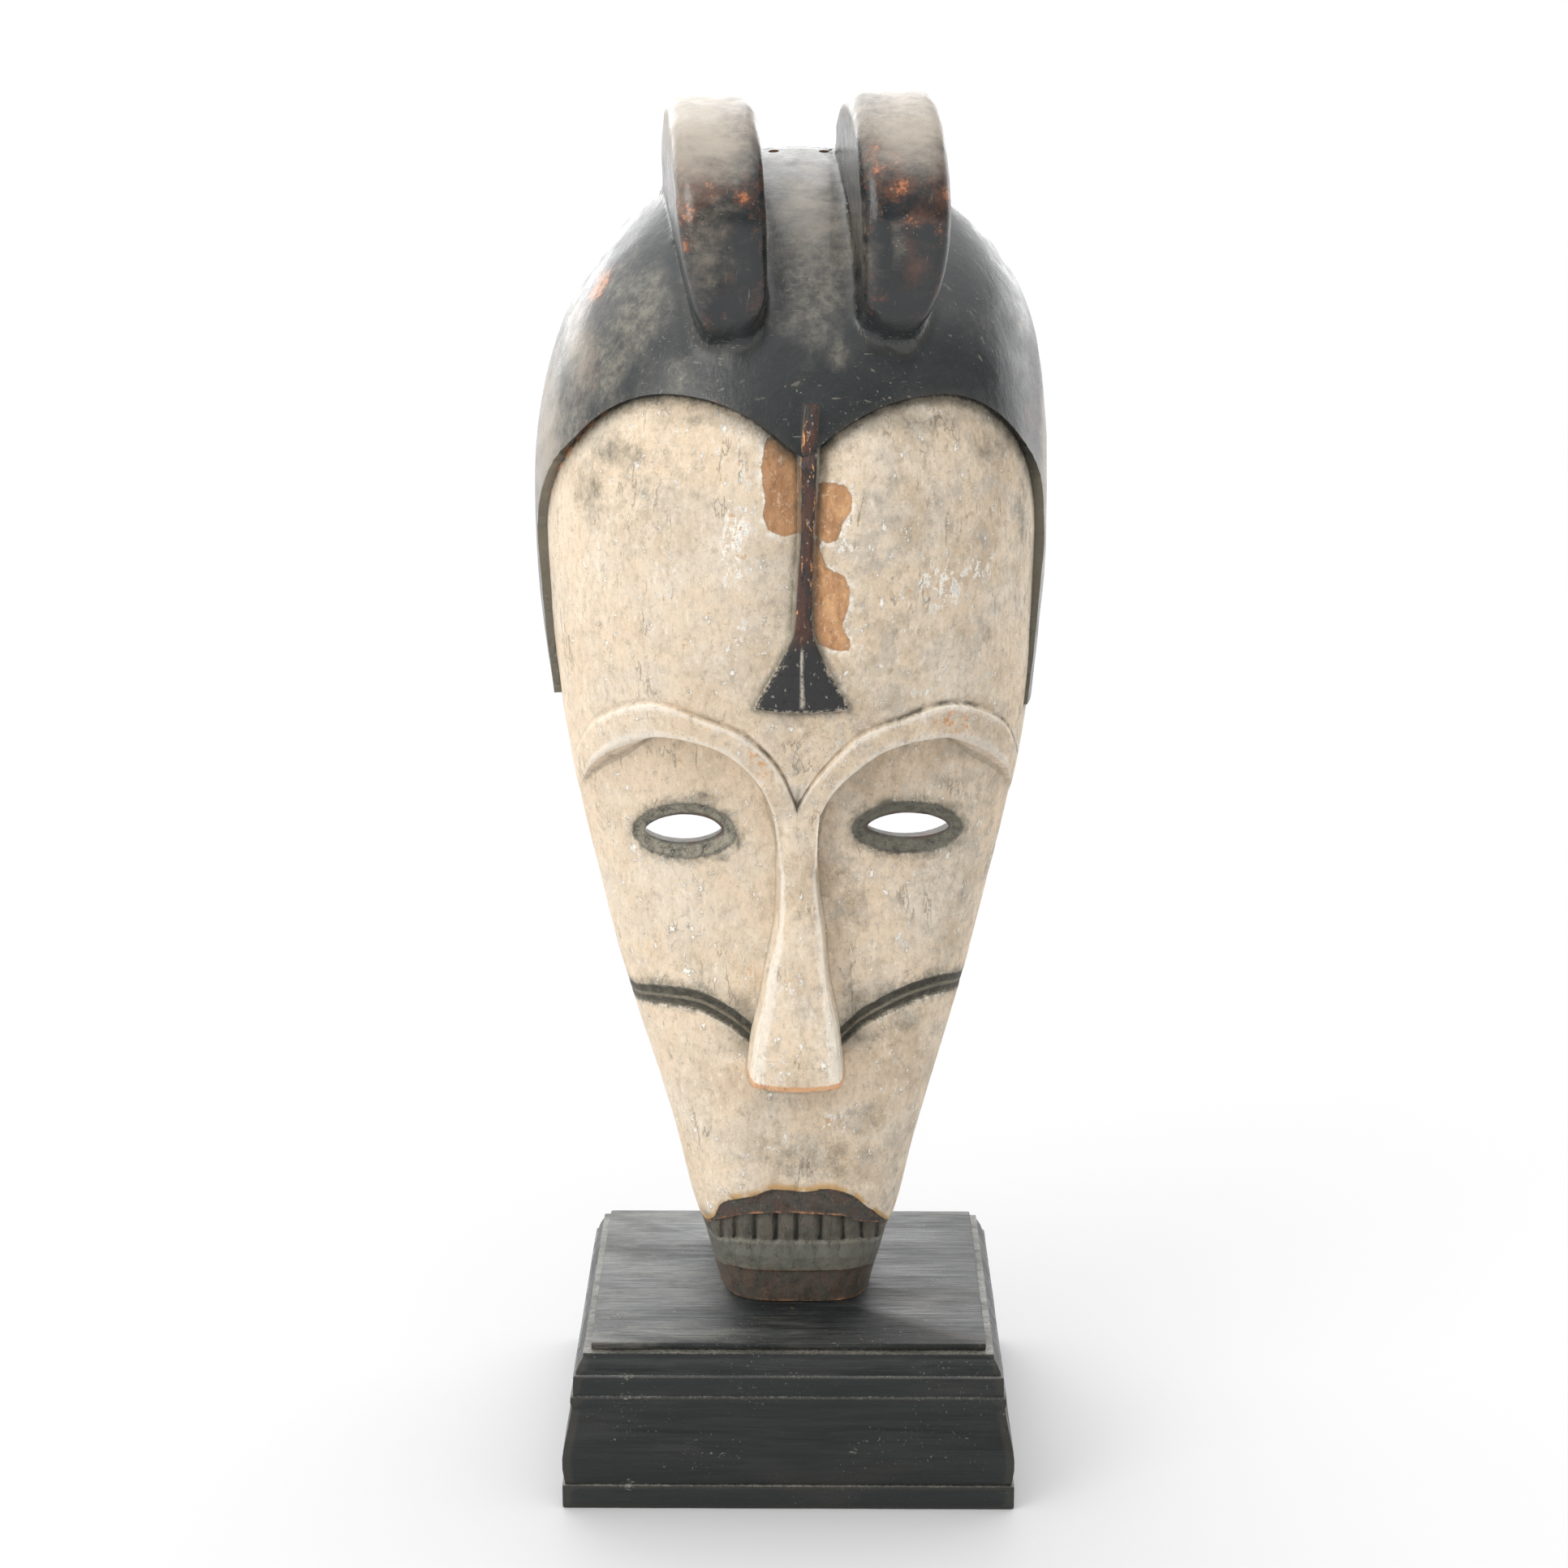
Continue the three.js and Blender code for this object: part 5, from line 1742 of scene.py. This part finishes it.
        cap = as_object(bm, "cap", Zone.CAP)
        combine(cap, self.lobe_cutter(), Join.CUT)
        return cap

    def lobe_cutter(self) -> bpy.types.Object:
        """What is cut from the cap over the forehead, square to the head's surface along its border.

        Returns:
            The body.
        """
        line, outwards = self.lobe_border()
        front = line + outwards * 11
        front[:, 1] = -140.0
        rings = [front, line + outwards * 11, line - outwards * 13]
        return loft([self.form.stance(ring) for ring in rings], "lobe_cutter", Zone.CAP)

    def lobe_border(self) -> tuple[Array, Array]:
        """The cap's border on the bare head.

        Returns:
            Its points, and the direction straight out of the surface at each.
        """
        x, z = np.array(self.lobe_outline()).T
        reach = 0.4
        slope_x = (self.bare_depth(x + reach, z) - self.bare_depth(x - reach, z)) / (2 * reach)
        slope_z = (self.bare_depth(x, z + reach) - self.bare_depth(x, z - reach)) / (2 * reach)
        aside = 1 - 0.85 * smooth(z, 560, 605)
        outwards = np.stack([slope_x * aside, -np.ones_like(x), slope_z * aside], axis=1)
        outwards /= np.linalg.norm(outwards, axis=1)[:, None]
        return np.stack([x, self.bare_depth(x, z), z], axis=1), outwards

    def bare_depth(self, x: Array, z: Array) -> Array:
        """Where the bare forehead's surface lies from front to back.

        Args:
            x: Sideways places.
            z: Heights.

        Returns:
            Places from front to back.
        """
        form = self.form
        forward = form.forehead(z) + form.swell(np.abs(x), z) - 4.8 * smooth(z, 510, 590)
        return form.rim - (form.rim + forward) * form.across(x, z)

    def hollow_body(self) -> bpy.types.Object:
        """The hollow behind the face, a wall's thickness inside it, with gouge marks.

        Returns:
            The body.
        """
        form = self.form
        bm, across, up = new_grid(70, 76)
        top = form.crown + form.cap - form.wall
        z = lerp(form.hollow_bottom, top, np.sin(up * math.pi / 2))
        angle = np.abs(across - 0.5) * math.pi
        n = form.squareness(z)
        reach = (np.sin(angle) ** n + np.maximum(np.cos(angle), 0) ** n) ** (-1 / n)
        left = np.where(angle > math.pi / 2 - TINY, 0, reach * np.cos(angle))
        width = np.where(
            z < form.widest, form.half_width(z, -form.wall), form.half_width(z, form.cap - form.wall),
        )
        x = width * reach * np.sin(angle) * np.sign(across - 0.5)
        skin = lerp(
            form.face(z), form.forehead(form.bare_height(z, form.cap - form.wall)), smooth(z, 440, 505),
        )
        forward = skin - form.wall + form.cap * smooth(z, 600, 660)
        points = np.stack([x, form.rim - np.maximum(form.rim + forward, 0) * left, z], axis=1)
        gouged = 1.7 * tool_marks(points, 17, 3.0) * smooth(left, 0.0, 0.3) * (1 - smooth(z, top - 6, top))
        points[:, 1] += gouged
        lay(bm, form.stance(points))
        close_behind(bm, form.rim + 20)
        return as_object(bm, "hollow", Zone.INSIDE)

    def eye_cutter(self, eye: tuple[float, float]) -> bpy.types.Object:
        """An eye opening right through the wall, wider inside.

        Args:
            eye: The opening's place, sizes and slant.

        Returns:
            The body.
        """
        rings = []
        for y, grow in ((-70.0, 0.0), (-33.0, 0.0), (24.0, 6.0)):
            line = np.array(self.slit(eye, grow))
            rings.append(self.form.stance(np.insert(line, 1, y, axis=1)))
        return loft(rings, "eye_cutter", Zone.FACE)

    def crest_body(self, side: int) -> bpy.types.Object:
        """A crest: a thick fin with rounded edges that stands over the dome.

        Args:
            side: -1 for the left crest and 1 for the right.

        Returns:
            The crest as a closed body.
        """
        bm = bmesh.new()
        bmesh.ops.create_uvsphere(bm, u_segments=120, v_segments=76, radius=1)
        ball = np.array([v.co[:] for v in bm.verts])
        turn = np.arctan2(ball[:, 1], ball[:, 0])
        lift = np.arcsin(np.clip(ball[:, 2], -1, 1)) / (math.pi / 2)
        loop = self.crest_loop(240)
        middle = np.array(self.crest_middle)
        bearing = np.arctan2(loop[:, 1] - middle[1], loop[:, 0] - middle[0])
        order = np.argsort(bearing)
        away = np.linalg.norm(loop - middle, axis=1)
        radius = np.interp(turn, bearing[order], away[order], period=math.tau)
        half = self.crest_thick / 2
        rounding = self.crest_round
        flat = radius - rounding
        arc = rounding * math.pi / 2
        travel = (1 - np.abs(lift)) * (flat + arc + half - rounding)
        bend = np.clip((travel - flat) / arc, 0, 1) * math.pi / 2
        reach = np.minimum(travel, flat) + rounding * np.sin(bend)
        thick = half - rounding + rounding * np.cos(bend) - np.maximum(travel - flat - arc, 0)
        y = middle[0] + reach * np.cos(turn)
        z = middle[1] + reach * np.sin(turn)
        rise = np.clip((z - self.crest_foot - 6) / 16, 0, 1)
        narrow = lerp(0.62, 1, np.sqrt(1 - (1 - rise) ** 2))
        outward = np.sign(lift) * side > 0
        taper = 1 - 0.5 * np.clip((735 - z) / 67, 0, 1.15) ** 2 * smooth(-y, -60, 0)
        x = thick * np.sign(lift) * np.where(outward, taper, narrow)
        points = np.stack([x, y, z], axis=1)
        x = x - 0.8 * tool_marks(points, 26, 6.0 + side) * np.sign(lift) * smooth(np.abs(thick), 4, 18)
        inward = 0.9 * tool_marks(points, 24, side) + 0.8 * fractal(points, 30, 2, 3.0 + side)
        dimple = 3.0 * np.exp(-((z - 700) / 16) ** 2) * smooth(-y, 40, 80) * np.exp(-(thick / 16) ** 2)
        away_now = np.stack([y - middle[0], z - middle[1]], axis=1)
        away_now /= np.maximum(np.linalg.norm(away_now, axis=1), 1)[:, None]
        held = (np.abs(inward) + dimple) * smooth(reach / radius, 0.6, 1.0)
        y = y - away_now[:, 0] * held
        z = z - away_now[:, 1] * held - (self.left_crest_lower if side < 0 else 0)
        x = x + side * self.crest_x + self.crest_aside - (y + 10) * self.crest_skew
        lay(bm, self.form.stance(np.stack([x, y, z], axis=1)))
        face_outwards(bm)
        return as_object(bm, "crest", Zone.CREST)

    def crest_loop(self, count: int) -> Array:
        """The crest's side outline as a smooth closed curve of that many points.

        Args:
            count: How many points it has.

        Returns:
            Depths and heights in millimetres, one row each.
        """
        corners = np.array(self.crest_outline)
        places = np.arange(count) / count * len(corners)
        i = places.astype(int)
        t = (places - i)[:, None]
        a, b, c, d = (corners[(i + k) % len(corners)] for k in (-1, 0, 1, 2))
        return (
            0.5
            * (2 * b + (c - a) * t + (2 * a - 5 * b + 4 * c - d) * t ** 2 + (3 * b - a - 3 * c + d) * t ** 3)
        )

    def drill(self, at: tuple[float, float, float], upright: bool) -> bpy.types.Object:
        """The bit of one drilled hole near the rim.

        Args:
            at: The hole's middle at the surface, in millimetres.
            upright: Whether it runs up and down rather than sideways.

        Returns:
            The body.
        """
        bm = bmesh.new()
        bmesh.ops.create_cone(
            bm, cap_ends=True, segments=20, radius1=self.hole_radius, radius2=self.hole_radius, depth=70,
        )
        if not upright:
            for vert in bm.verts:
                vert.co = (vert.co.z, vert.co.y, vert.co.x)
        bmesh.ops.translate(bm, vec=at, verts=bm.verts)
        lay(bm, self.form.stance(np.array([v.co[:] for v in bm.verts])))
        face_outwards(bm)
        return as_object(bm, "drill", Zone.INSIDE)

    def build(self) -> bpy.types.Object:
        """The mask as one piece, with its finishes and painted borders.

        Returns:
            The mask.
        """
        form = self.form
        mask = self.face_body()
        combine(mask, self.cap_body(), Join.ADD)
        for side in (-1, 1):
            combine(mask, self.crest_body(side), Join.ADD)
        ease_seam(mask.data, Zone.CAP, Zone.CREST, 5, 20, form.rim)
        combine(mask, self.hollow_body(), Join.CUT)
        for eye in self.eyes:
            combine(mask, self.eye_cutter(eye), Join.CUT)
        for side in (-1, 1):
            at = (side * self.top_hole_aside, self.hole_line, form.crown)
            combine(mask, self.drill(at, True), Join.CUT)
        for side in (-1, 1):
            at = (side * form.widest_half, self.hole_line, self.side_hole_height)
            combine(mask, self.drill(at, False), Join.CUT)
        drop_slivers(mask.data)
        refill_rim(mask.data, form.rim)
        self.mark(mask.data)
        soften(mask.data, 42)
        zones = np.empty(len(mask.data.polygons), np.int32)
        mask.data.attributes["zone"].data.foreach_get("value", zones)
        mask.data.materials.clear()
        zones = self.bare_rim(mask.data, zones)
        cap = StainFinish(
            "cap_stain", gloss=0.27, hollows=0.12, dusty=paint(124, 120, 108), orange=paint(180, 128, 92),
        )
        crest = StainFinish("crest_stain", wear=0.36, dust=0.5, gloss=0.2, hollows=0.0,
                            dusty=paint(140, 128, 112), brown=paint(86, 62, 52))
        for finish in (FaceFinish(), cap, crest, InsideFinish()):
            mask.data.materials.append(finish.material())
        mask.data.polygons.foreach_set("material_index", zones)
        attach(mask, "root")
        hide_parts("mask")
        return mask

    def bare_rim(self, mesh: bpy.types.Mesh, zones: Array) -> Array:
        """The faces' zones, with the flat rim at the back left as bare wood.

        Args:
            mesh: The mesh.
            zones: Each face's zone.

        Returns:
            The changed zones.
        """
        middles = np.empty(len(mesh.polygons) * 3, np.float32)
        mesh.polygons.foreach_get("center", middles)
        behind = middles.reshape(-1, 3)[:, 1] / MM > self.form.rim - 0.2
        return np.where(behind, Zone.INSIDE.value, zones).astype(np.int32)

    def mark(self, mesh: bpy.types.Mesh) -> None:
        """Keeps the painted borders and the wear on the mesh, as distances in millimetres, and the smudges
        of dirt, painted shade and painted highlight as strengths.

        Args:
            mesh: The mesh.
        """
        form = self.form
        points = form.upright(coordinates(mesh))
        x, y, z = points.T
        out = np.abs(x)
        store(mesh, "eye", np.maximum(self.eye_distance(x, z), 0))
        beside = (out > form.nose_half(z) + 1.5) & (np.abs(z - 275) < 60)
        off = z - form.groove(x)
        store(mesh, "groove", np.where(beside, off, np.copysign(60, off)))
        store(mesh, "nose_side", np.maximum(out - form.nose_half(z), 0))
        store(mesh, "brow", np.where((z > 392) & (y < 20), z - form.brow_top(x), 60))
        store(mesh, "brow_under", np.where((z > 372) & (z < 470) & (y < 20), z - form.brow_under(x), -60))
        store(mesh, "lip", z - form.lip_top(x))
        low = form.lip_bottom_edge(x)
        foot, chin = form.teeth_foot(x), form.lip_foot(x)
        band = smooth(z, low + 0.2, low - 0.6) + smooth(z, foot + 0.6, foot - 0.4)
        store(mesh, "mouth_band", band + smooth(z, chin + 1.4, chin + 0.2))
        edges = np.abs([z - low - 0.3, z - chin - 0.9, z - form.chin_bottom - 0.6])
        store(mesh, "mouth_edge", np.where(z < 175, np.min(edges, axis=0), 60))
        front = np.where((y < -50) & (out < 29), z - form.nose_end(x), 60)
        store(mesh, "nose_tip", np.where(front < -6, 60, np.maximum(front, 0)))
        store(mesh, "patch", np.min([away_from(x, z, list(patch)) for patch in self.patches], axis=0))
        ridge = np.abs(x - form.ridge_middle(z)) - form.ridge_half(z)
        ridge = np.maximum(ridge, 459.6 + 1.6 * (out / 24) ** 2 - z)
        ridge = np.maximum(ridge, z - 631)
        store(mesh, "ridge", np.where(z > 440, ridge, 60))
        line = (1 - smooth(np.abs(x - 0.3), 0.3, 0.9)) * smooth(z, 461, 464) * (1 - smooth(z, 494, 497))
        store(mesh, "ridge_line", line)
        store(mesh, "lobe", self.lobe_distance(points))
        store(mesh, "wall", self.border_wall(points))
        brow = (
            smooth(z, form.brow_under(out) - 1, form.brow_under(out) + 2)
            * (1 - smooth(z, form.brow_top(out) - 3, form.brow_top(out)))
        )
        worn = (
            np.exp(-(((x - 84) / 12) ** 2)) + np.exp(-(((x + 23) / 7) ** 2))
            + 0.4 * np.exp(-(((x + 104) / 9) ** 2))
        )
        store(mesh, "brow_wear", np.clip(brow * worn, 0, 1))
        store(mesh, "brow_line", np.maximum(smooth(x, 24, 60), 0.9 * np.exp(-((x + 25) / 28) ** 2)))
        store(mesh, "lower_facet", smooth(z, form.teeth_foot(x) - 9, form.teeth_foot(x) - 13))
        for name, rows in self.smudges.items():
            store(mesh, name, np.max([Smudge(*row).at(x, z) for row in rows], axis=0))
        self.mark_wear(mesh, points)
        bend = store_shape(mesh, 7, 0.8)
        store(mesh, "arris", np.clip((-bend - 0.25) / 0.9, 0, 1))

    def lobe_distance(self, points: Array) -> Array:
        """Distance over the surface from the cap's border.

        Args:
            points: Places, one row each.

        Returns:
            Distances.
        """
        line, _ = self.lobe_border()
        nearest = np.full(len(points), 1e9)
        for a, b in zip(line[:-1], line[1:]):
            span = b - a
            t = np.clip(((points - a) @ span) / (span @ span), 0, 1)
            nearest = np.minimum(nearest, np.linalg.norm(points - a - t[:, None] * span, axis=1))
        return nearest

    def border_wall(self, points: Array) -> Array:
        """How far each point lies on the cap's cut border, from 0 to 1.

        Args:
            points: Places, one row each.

        Returns:
            One value for each place.
        """
        line, outwards = self.lobe_border()
        wall = np.zeros(len(points))
        for k in range(len(line) - 1):
            for share in (0.0, 0.2, 0.4, 0.6, 0.8):
                foot = lerp(line[k], line[k + 1], share)
                away = points - foot
                along = away @ outwards[k]
                beside = np.linalg.norm(away - along[:, None] * outwards[k], axis=1)
                wall = np.maximum(wall, (1 - smooth(beside, 1.6, 3.2)) * (np.abs(along - 3) < 7))
        return wall

    def mark_wear(self, mesh: bpy.types.Mesh, points: Array) -> None:
        """Keeps where the dark stain is rubbed through to orange wood.

        Args:
            mesh: The mesh.
            points: Its points, one row each.
        """
        spots = (
            (-113, 12, 680, 17, 0.78), (-122, 20, 664, 13, 0.5), (-130, 0, 592, 8, 0.55),
            (-137, 4, 566, 9, 0.6), (-124, -8, 606, 8, 0.5), (-140, 8, 540, 8, 0.5), (-139, 6, 470, 14, 0.4),
            (-48, -80, 742, 14, 0.42), (-64, -84, 730, 8, 0.3), (42, -78, 756, 10, 0.54),
            (46, -84, 740, 9, 0.62), (52, -86, 724, 9, 0.4), (-54, -44, 781, 5, 0.6),
            (-36, -84, 736, 6, 0.5), (70, -80, 738, 4, 0.45), (-48, -86, 692, 4, 0.5),
            (60, -86, 706, 4, 0.45), (-66, -84, 710, 4, 0.4), (34, -80, 770, 4, 0.4),
        )
        store(mesh, "wear", spotted(points, spots))


@dataclass
class Plinth:
    """The stepped wooden plinth: a top board, a moulded body and a base board."""

    side_shorter: float = 18.1
    profile: tuple[tuple[float, float], ...] = (
        (127.6, 15.0), (128.3, 19.5), (128.9, 24.5), (128.9, 30.0), (128.1, 36.0), (126.7, 43.0),
        (125.1, 50.0), (124.0, 56.0), (123.4, 60.5), (124.1, 63.5), (123.9, 66.6), (122.6, 67.3),
        (122.3, 78.6), (121.2, 79.4), (120.2, 82.6), (118.6, 85.8), (116.9, 88.6), (116.7, 91.0),
    )
    base: tuple[float, float, float] = (129.1, 0.0, 14.7)
    top: tuple[float, float, float] = (112.4, 91.3, 95.4)
    nail_dents: tuple[tuple[float, float], ...] = ((-72.0, 86.2), (72.0, 86.6))
    chips: tuple[tuple[float, ...], ...] = (
        (-92, -104, 79.4, 5, 0.72), (-92, -106, 67, 4.5, 0.62), (-91, -111, 14.6, 5.5, 0.78),
        (-38, -109, 34, 9, 0.5), (38, -109, 36, 9, 0.48), (-70, -110, 28, 8, 0.42), (60, -78, 95.4, 14, 0.6),
        (34, -70, 95.4, 11, 0.5), (62, -88, 95.4, 6, 0.9), (-78, -30, 95.4, 7, 0.5),
        (-48, -60, 95.4, 12, 0.5), (30, -92, 91.3, 6, 0.8),
    )

    def block(self, profile: list[tuple[float, float]], name: str, along: int = 64) -> bpy.types.Object:
        """A square block whose four sides follow one profile.

        Args:
            profile: Half widths and heights, from the bottom up.
            name: The piece's name.
            along: Faces along each side.

        Returns:
            The block as a closed piece.
        """
        bm, around, up = new_grid(along * 4, len(profile) - 1)
        level = np.round(up * (len(profile) - 1)).astype(int)
        half = np.array([p[0] for p in profile])[level]
        height = np.array([p[1] for p in profile])[level]
        side = np.minimum((around * 4 + TINY).astype(int), 3)
        along_side = (around * 4 - side) * 2 - 1
        inner = 1 - 1.4 / half
        eased = np.clip(along_side, -1, 1)
        depth = half - self.side_shorter
        x = np.choose(side, [eased * half, half, -eased * half, -half])
        y = np.choose(side, [-depth, eased * depth, depth, -eased * depth])
        corner = smooth(np.abs(eased), inner, 1.0)
        points = np.stack([x, y, height], axis=1)
        points[:, 0] -= np.sign(x) * corner * 0.35
        points[:, 1] -= np.sign(y) * corner * 0.35
        wobble = (0.14 * fractal(points, 24, 3, 1.5) - 0.12) * (1 - corner)
        points[:, 0] += np.where(side % 2 == 1, np.sign(x) * wobble, 0)
        points[:, 1] += np.where(side % 2 == 0, np.sign(y) * wobble, 0)
        for dent_x, dent_z in self.nail_dents:
            away = np.hypot(points[:, 0] - dent_x, points[:, 2] - dent_z)
            points[:, 1] += np.where(side == 0, 1.2 * np.exp(-(away / 1.6) ** 2), 0)
        lay(bm, points)
        seal(bm)
        piece = as_object(bm, name)
        return piece

    def stepped(self, corners: tuple[tuple[float, float], ...], reach: float) -> list[tuple[float, float]]:
        """A profile with each straight run cut into short steps.

        Args:
            corners: The profile's own points.
            reach: The longest step in millimetres.

        Returns:
            The finer profile.
        """
        fine = [corners[0]]
        for a, b in zip(corners[:-1], corners[1:]):
            parts = max(1, math.ceil(math.dist(a, b) / reach))
            fine += [(lerp(a[0], b[0], k / parts), lerp(a[1], b[1], k / parts)) for k in range(1, parts + 1)]
        return fine

    def board(self, size: tuple[float, float, float], name: str, ease: float) -> bpy.types.Object:
        """A flat board with eased edges.

        Args:
            size: Its half width, underside and top, in millimetres.
            name: Its name.
            ease: How far its edges are eased.

        Returns:
            The board.
        """
        half, bottom, top = size
        corners = (
            (half - ease, bottom), (half - ease * 0.3, bottom + ease * 0.3), (half, bottom + ease),
            (half, top - ease), (half - ease * 0.3, top - ease * 0.3), (half - ease, top),
        )
        return self.block(self.stepped(corners, 3.0), name)

    def dress(
        self, piece: bpy.types.Object, node: str, finish: PlinthFinish, ledges: tuple[float, ...],
    ) -> None:
        """Marks a plinth piece's edges and dusty ledges, and gives it its finish.

        Args:
            piece: The piece.
            node: The solid that it stands for.
            finish: Its finish.
            ledges: Heights at which dust has settled.
        """
        mesh = piece.data
        store_shape(mesh, 3, 0.5)
        points = coordinates(mesh)
        dusty = np.max([np.exp(-((points[:, 2] - ledge) / 0.55) ** 2) for ledge in ledges], axis=0)
        store(mesh, "ledge", dusty)
        store(mesh, "chipped", spotted(points, self.chips))
        soften(mesh, 35)
        mesh.materials.append(finish.material())
        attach(piece, "root")
        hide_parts(node)
        LOG.info("%s: %d points", piece.name, len(mesh.vertices))

    def build(self) -> None:
        """All three pieces of the plinth."""
        moulding = self.block(self.stepped(self.profile, 1.6), "plinth_body")
        self.dress(moulding, "plinth_moulding", PlinthFinish("moulding_stain"), (67.0, 79.2, 90.8))
        base = self.board(self.base, "plinth_base", 1.4)
        self.dress(base, "plinth_base_board", PlinthFinish("base_stain", black=paint(22, 26, 26)), (14.4,))
        top = self.board(self.top, "plinth_top", 0.8)
        self.dress(top, "plinth_top_board", PlinthFinish("top_board_stain", top=True), (91.6,))


@dataclass
class Studio:
    """Pale floor, soft lights and the camera."""

    camera_place: tuple[float, float, float] = (9.7, -1696.5, 870.5)
    tilt: float = 15.535
    pan: float = 0.436
    focal_pixels: float = 3800.0
    room_level: float = 0.56
    room_overhead: float = 2.4
    room_behind: float = 2.4
    room_slant: tuple[float, float, float] = (-0.28, 0.46, 0.0)
    image_width: float = 1932.0
    sensor: float = 36.0

    def floor(self) -> None:
        """A wide pale floor."""
        bm = bmesh.new()
        bmesh.ops.create_grid(bm, x_segments=1, y_segments=1, size=300000)
        floor = as_object(bm, "floor")
        b = Bench("pale_floor")
        b.shader.inputs["Base Color"].default_value = paint(184, 184, 185)
        b.shader.inputs["Roughness"].default_value = 0.9
        b.shader.inputs["Specular IOR Level"].default_value = 0.2
        floor.data.materials.append(b.material)

    def light(self, name: str, place: tuple[float, float, float], aim: tuple[float, float, float],
              size: float, power: float, tint: tuple[float, float, float] = (1, 1, 1)) -> None:
        """A soft square light.

        Args:
            name: Its name.
            place: Where it hangs, in metres.
            aim: What it points at, in metres.
            size: Its side in metres.
            power: Watts.
            tint: Its colour.
        """
        lamp = bpy.data.lights.new(name, "AREA")
        lamp.size = size
        lamp.energy = power
        lamp.color = tint
        holder = bpy.data.objects.new(name, lamp)
        holder.location = place
        holder.rotation_euler = (Vector(aim) - Vector(place)).to_track_quat("-Z", "Y").to_euler()
        bpy.context.scene.collection.objects.link(holder)

    def camera(self) -> None:
        """The camera, at the eye level and distance of the picture."""
        lens = bpy.data.cameras.new("camera")
        lens.sensor_width = self.sensor
        lens.lens = self.focal_pixels / self.image_width * self.sensor
        lens.clip_end = 100
        holder = bpy.data.objects.new("camera", lens)
        holder.location = [c * MM for c in self.camera_place]
        holder.rotation_euler = (math.radians(90 - self.tilt), 0, math.radians(self.pan))
        bpy.context.scene.collection.objects.link(holder)
        bpy.context.scene.camera = holder

    def room(self) -> None:
        """The light of the room: stronger overhead and aslant, with a glow low down behind."""
        world = bpy.data.worlds.new("soft_room")
        bpy.context.scene.world = world
        world.use_nodes = True
        tree = world.node_tree
        sky = tree.nodes["Background"]
        sky.inputs["Color"].default_value = (1, 1, 1, 1)
        towards = tree.nodes.new("ShaderNodeTexCoord").outputs["Generated"]
        slant = self.wired(tree, "VectorMath", (towards, self.room_slant), operation="DOT_PRODUCT")
        split = self.wired(tree, "SeparateXYZ", (towards,))
        depth, height = split.outputs[1], split.outputs[2]
        overhead = self.wired(tree, "Math", (height, height), operation="MULTIPLY")
        lifted = self.wired(
            tree, "Math", (overhead.outputs[0], self.room_overhead, self.room_level),
            operation="MULTIPLY_ADD",
        )
        level = self.wired(tree, "Math", (slant.outputs["Value"], lifted.outputs[0]))
        low = self.wired(
            tree, "MapRange", (height, 0.08, 0.4, self.room_behind, 0.0), interpolation_type="SMOOTHSTEP",
        )
        behind = self.wired(
            tree, "MapRange", (depth, 0.5, 0.95, 0.0, low.outputs[0]), interpolation_type="SMOOTHSTEP",
        )
        total = self.wired(tree, "Math", (level.outputs[0], behind.outputs[0]))
        tree.links.new(total.outputs[0], sky.inputs["Strength"])

    def wired(
        self, tree: bpy.types.NodeTree, kind: str, values: tuple, **settings: object,
    ) -> bpy.types.Node:
        """A new node of the room's light, with its inputs.

        Args:
            tree: The world's node tree.
            kind: The node's type name without its prefix.
            values: Numbers or other nodes' outputs, for its inputs in order.
            settings: Values of its own properties.

        Returns:
            The node.
        """
        node = tree.nodes.new("ShaderNode" + kind)
        for key, value in settings.items():
            setattr(node, key, value)
        for socket, value in zip(node.inputs, values):
            if isinstance(value, bpy.types.NodeSocket):
                tree.links.new(value, socket)
            else:
                socket.default_value = value
        return node

    def build(self) -> None:
        """Everything round the object."""
        bpy.context.scene.view_settings.view_transform = "Standard"
        self.room()
        self.floor()
        self.light("key", (-2.4, -2.2, 1.5), (0, 0, 0.42), 1.9, 44, (1.0, 0.985, 0.96))
        self.light("back", (-8.0, 28.0, 18.0), (0, 0, 0.6), 32.0, 4300)
        self.light("right_rim", (2.4, 1.5, 0.9), (0, 0, 0.6), 1.6, 12)
        self.camera()


def main() -> None:
    """Builds the studio, the plinth and the mask."""
    logging.basicConfig(level=logging.INFO)
    Studio().build()
    Plinth().build()
    mask = Mask().build()
    LOG.info("mask: %d points, %d faces", len(mask.data.vertices), len(mask.data.polygons))


if __name__ == "__main__":
    main()
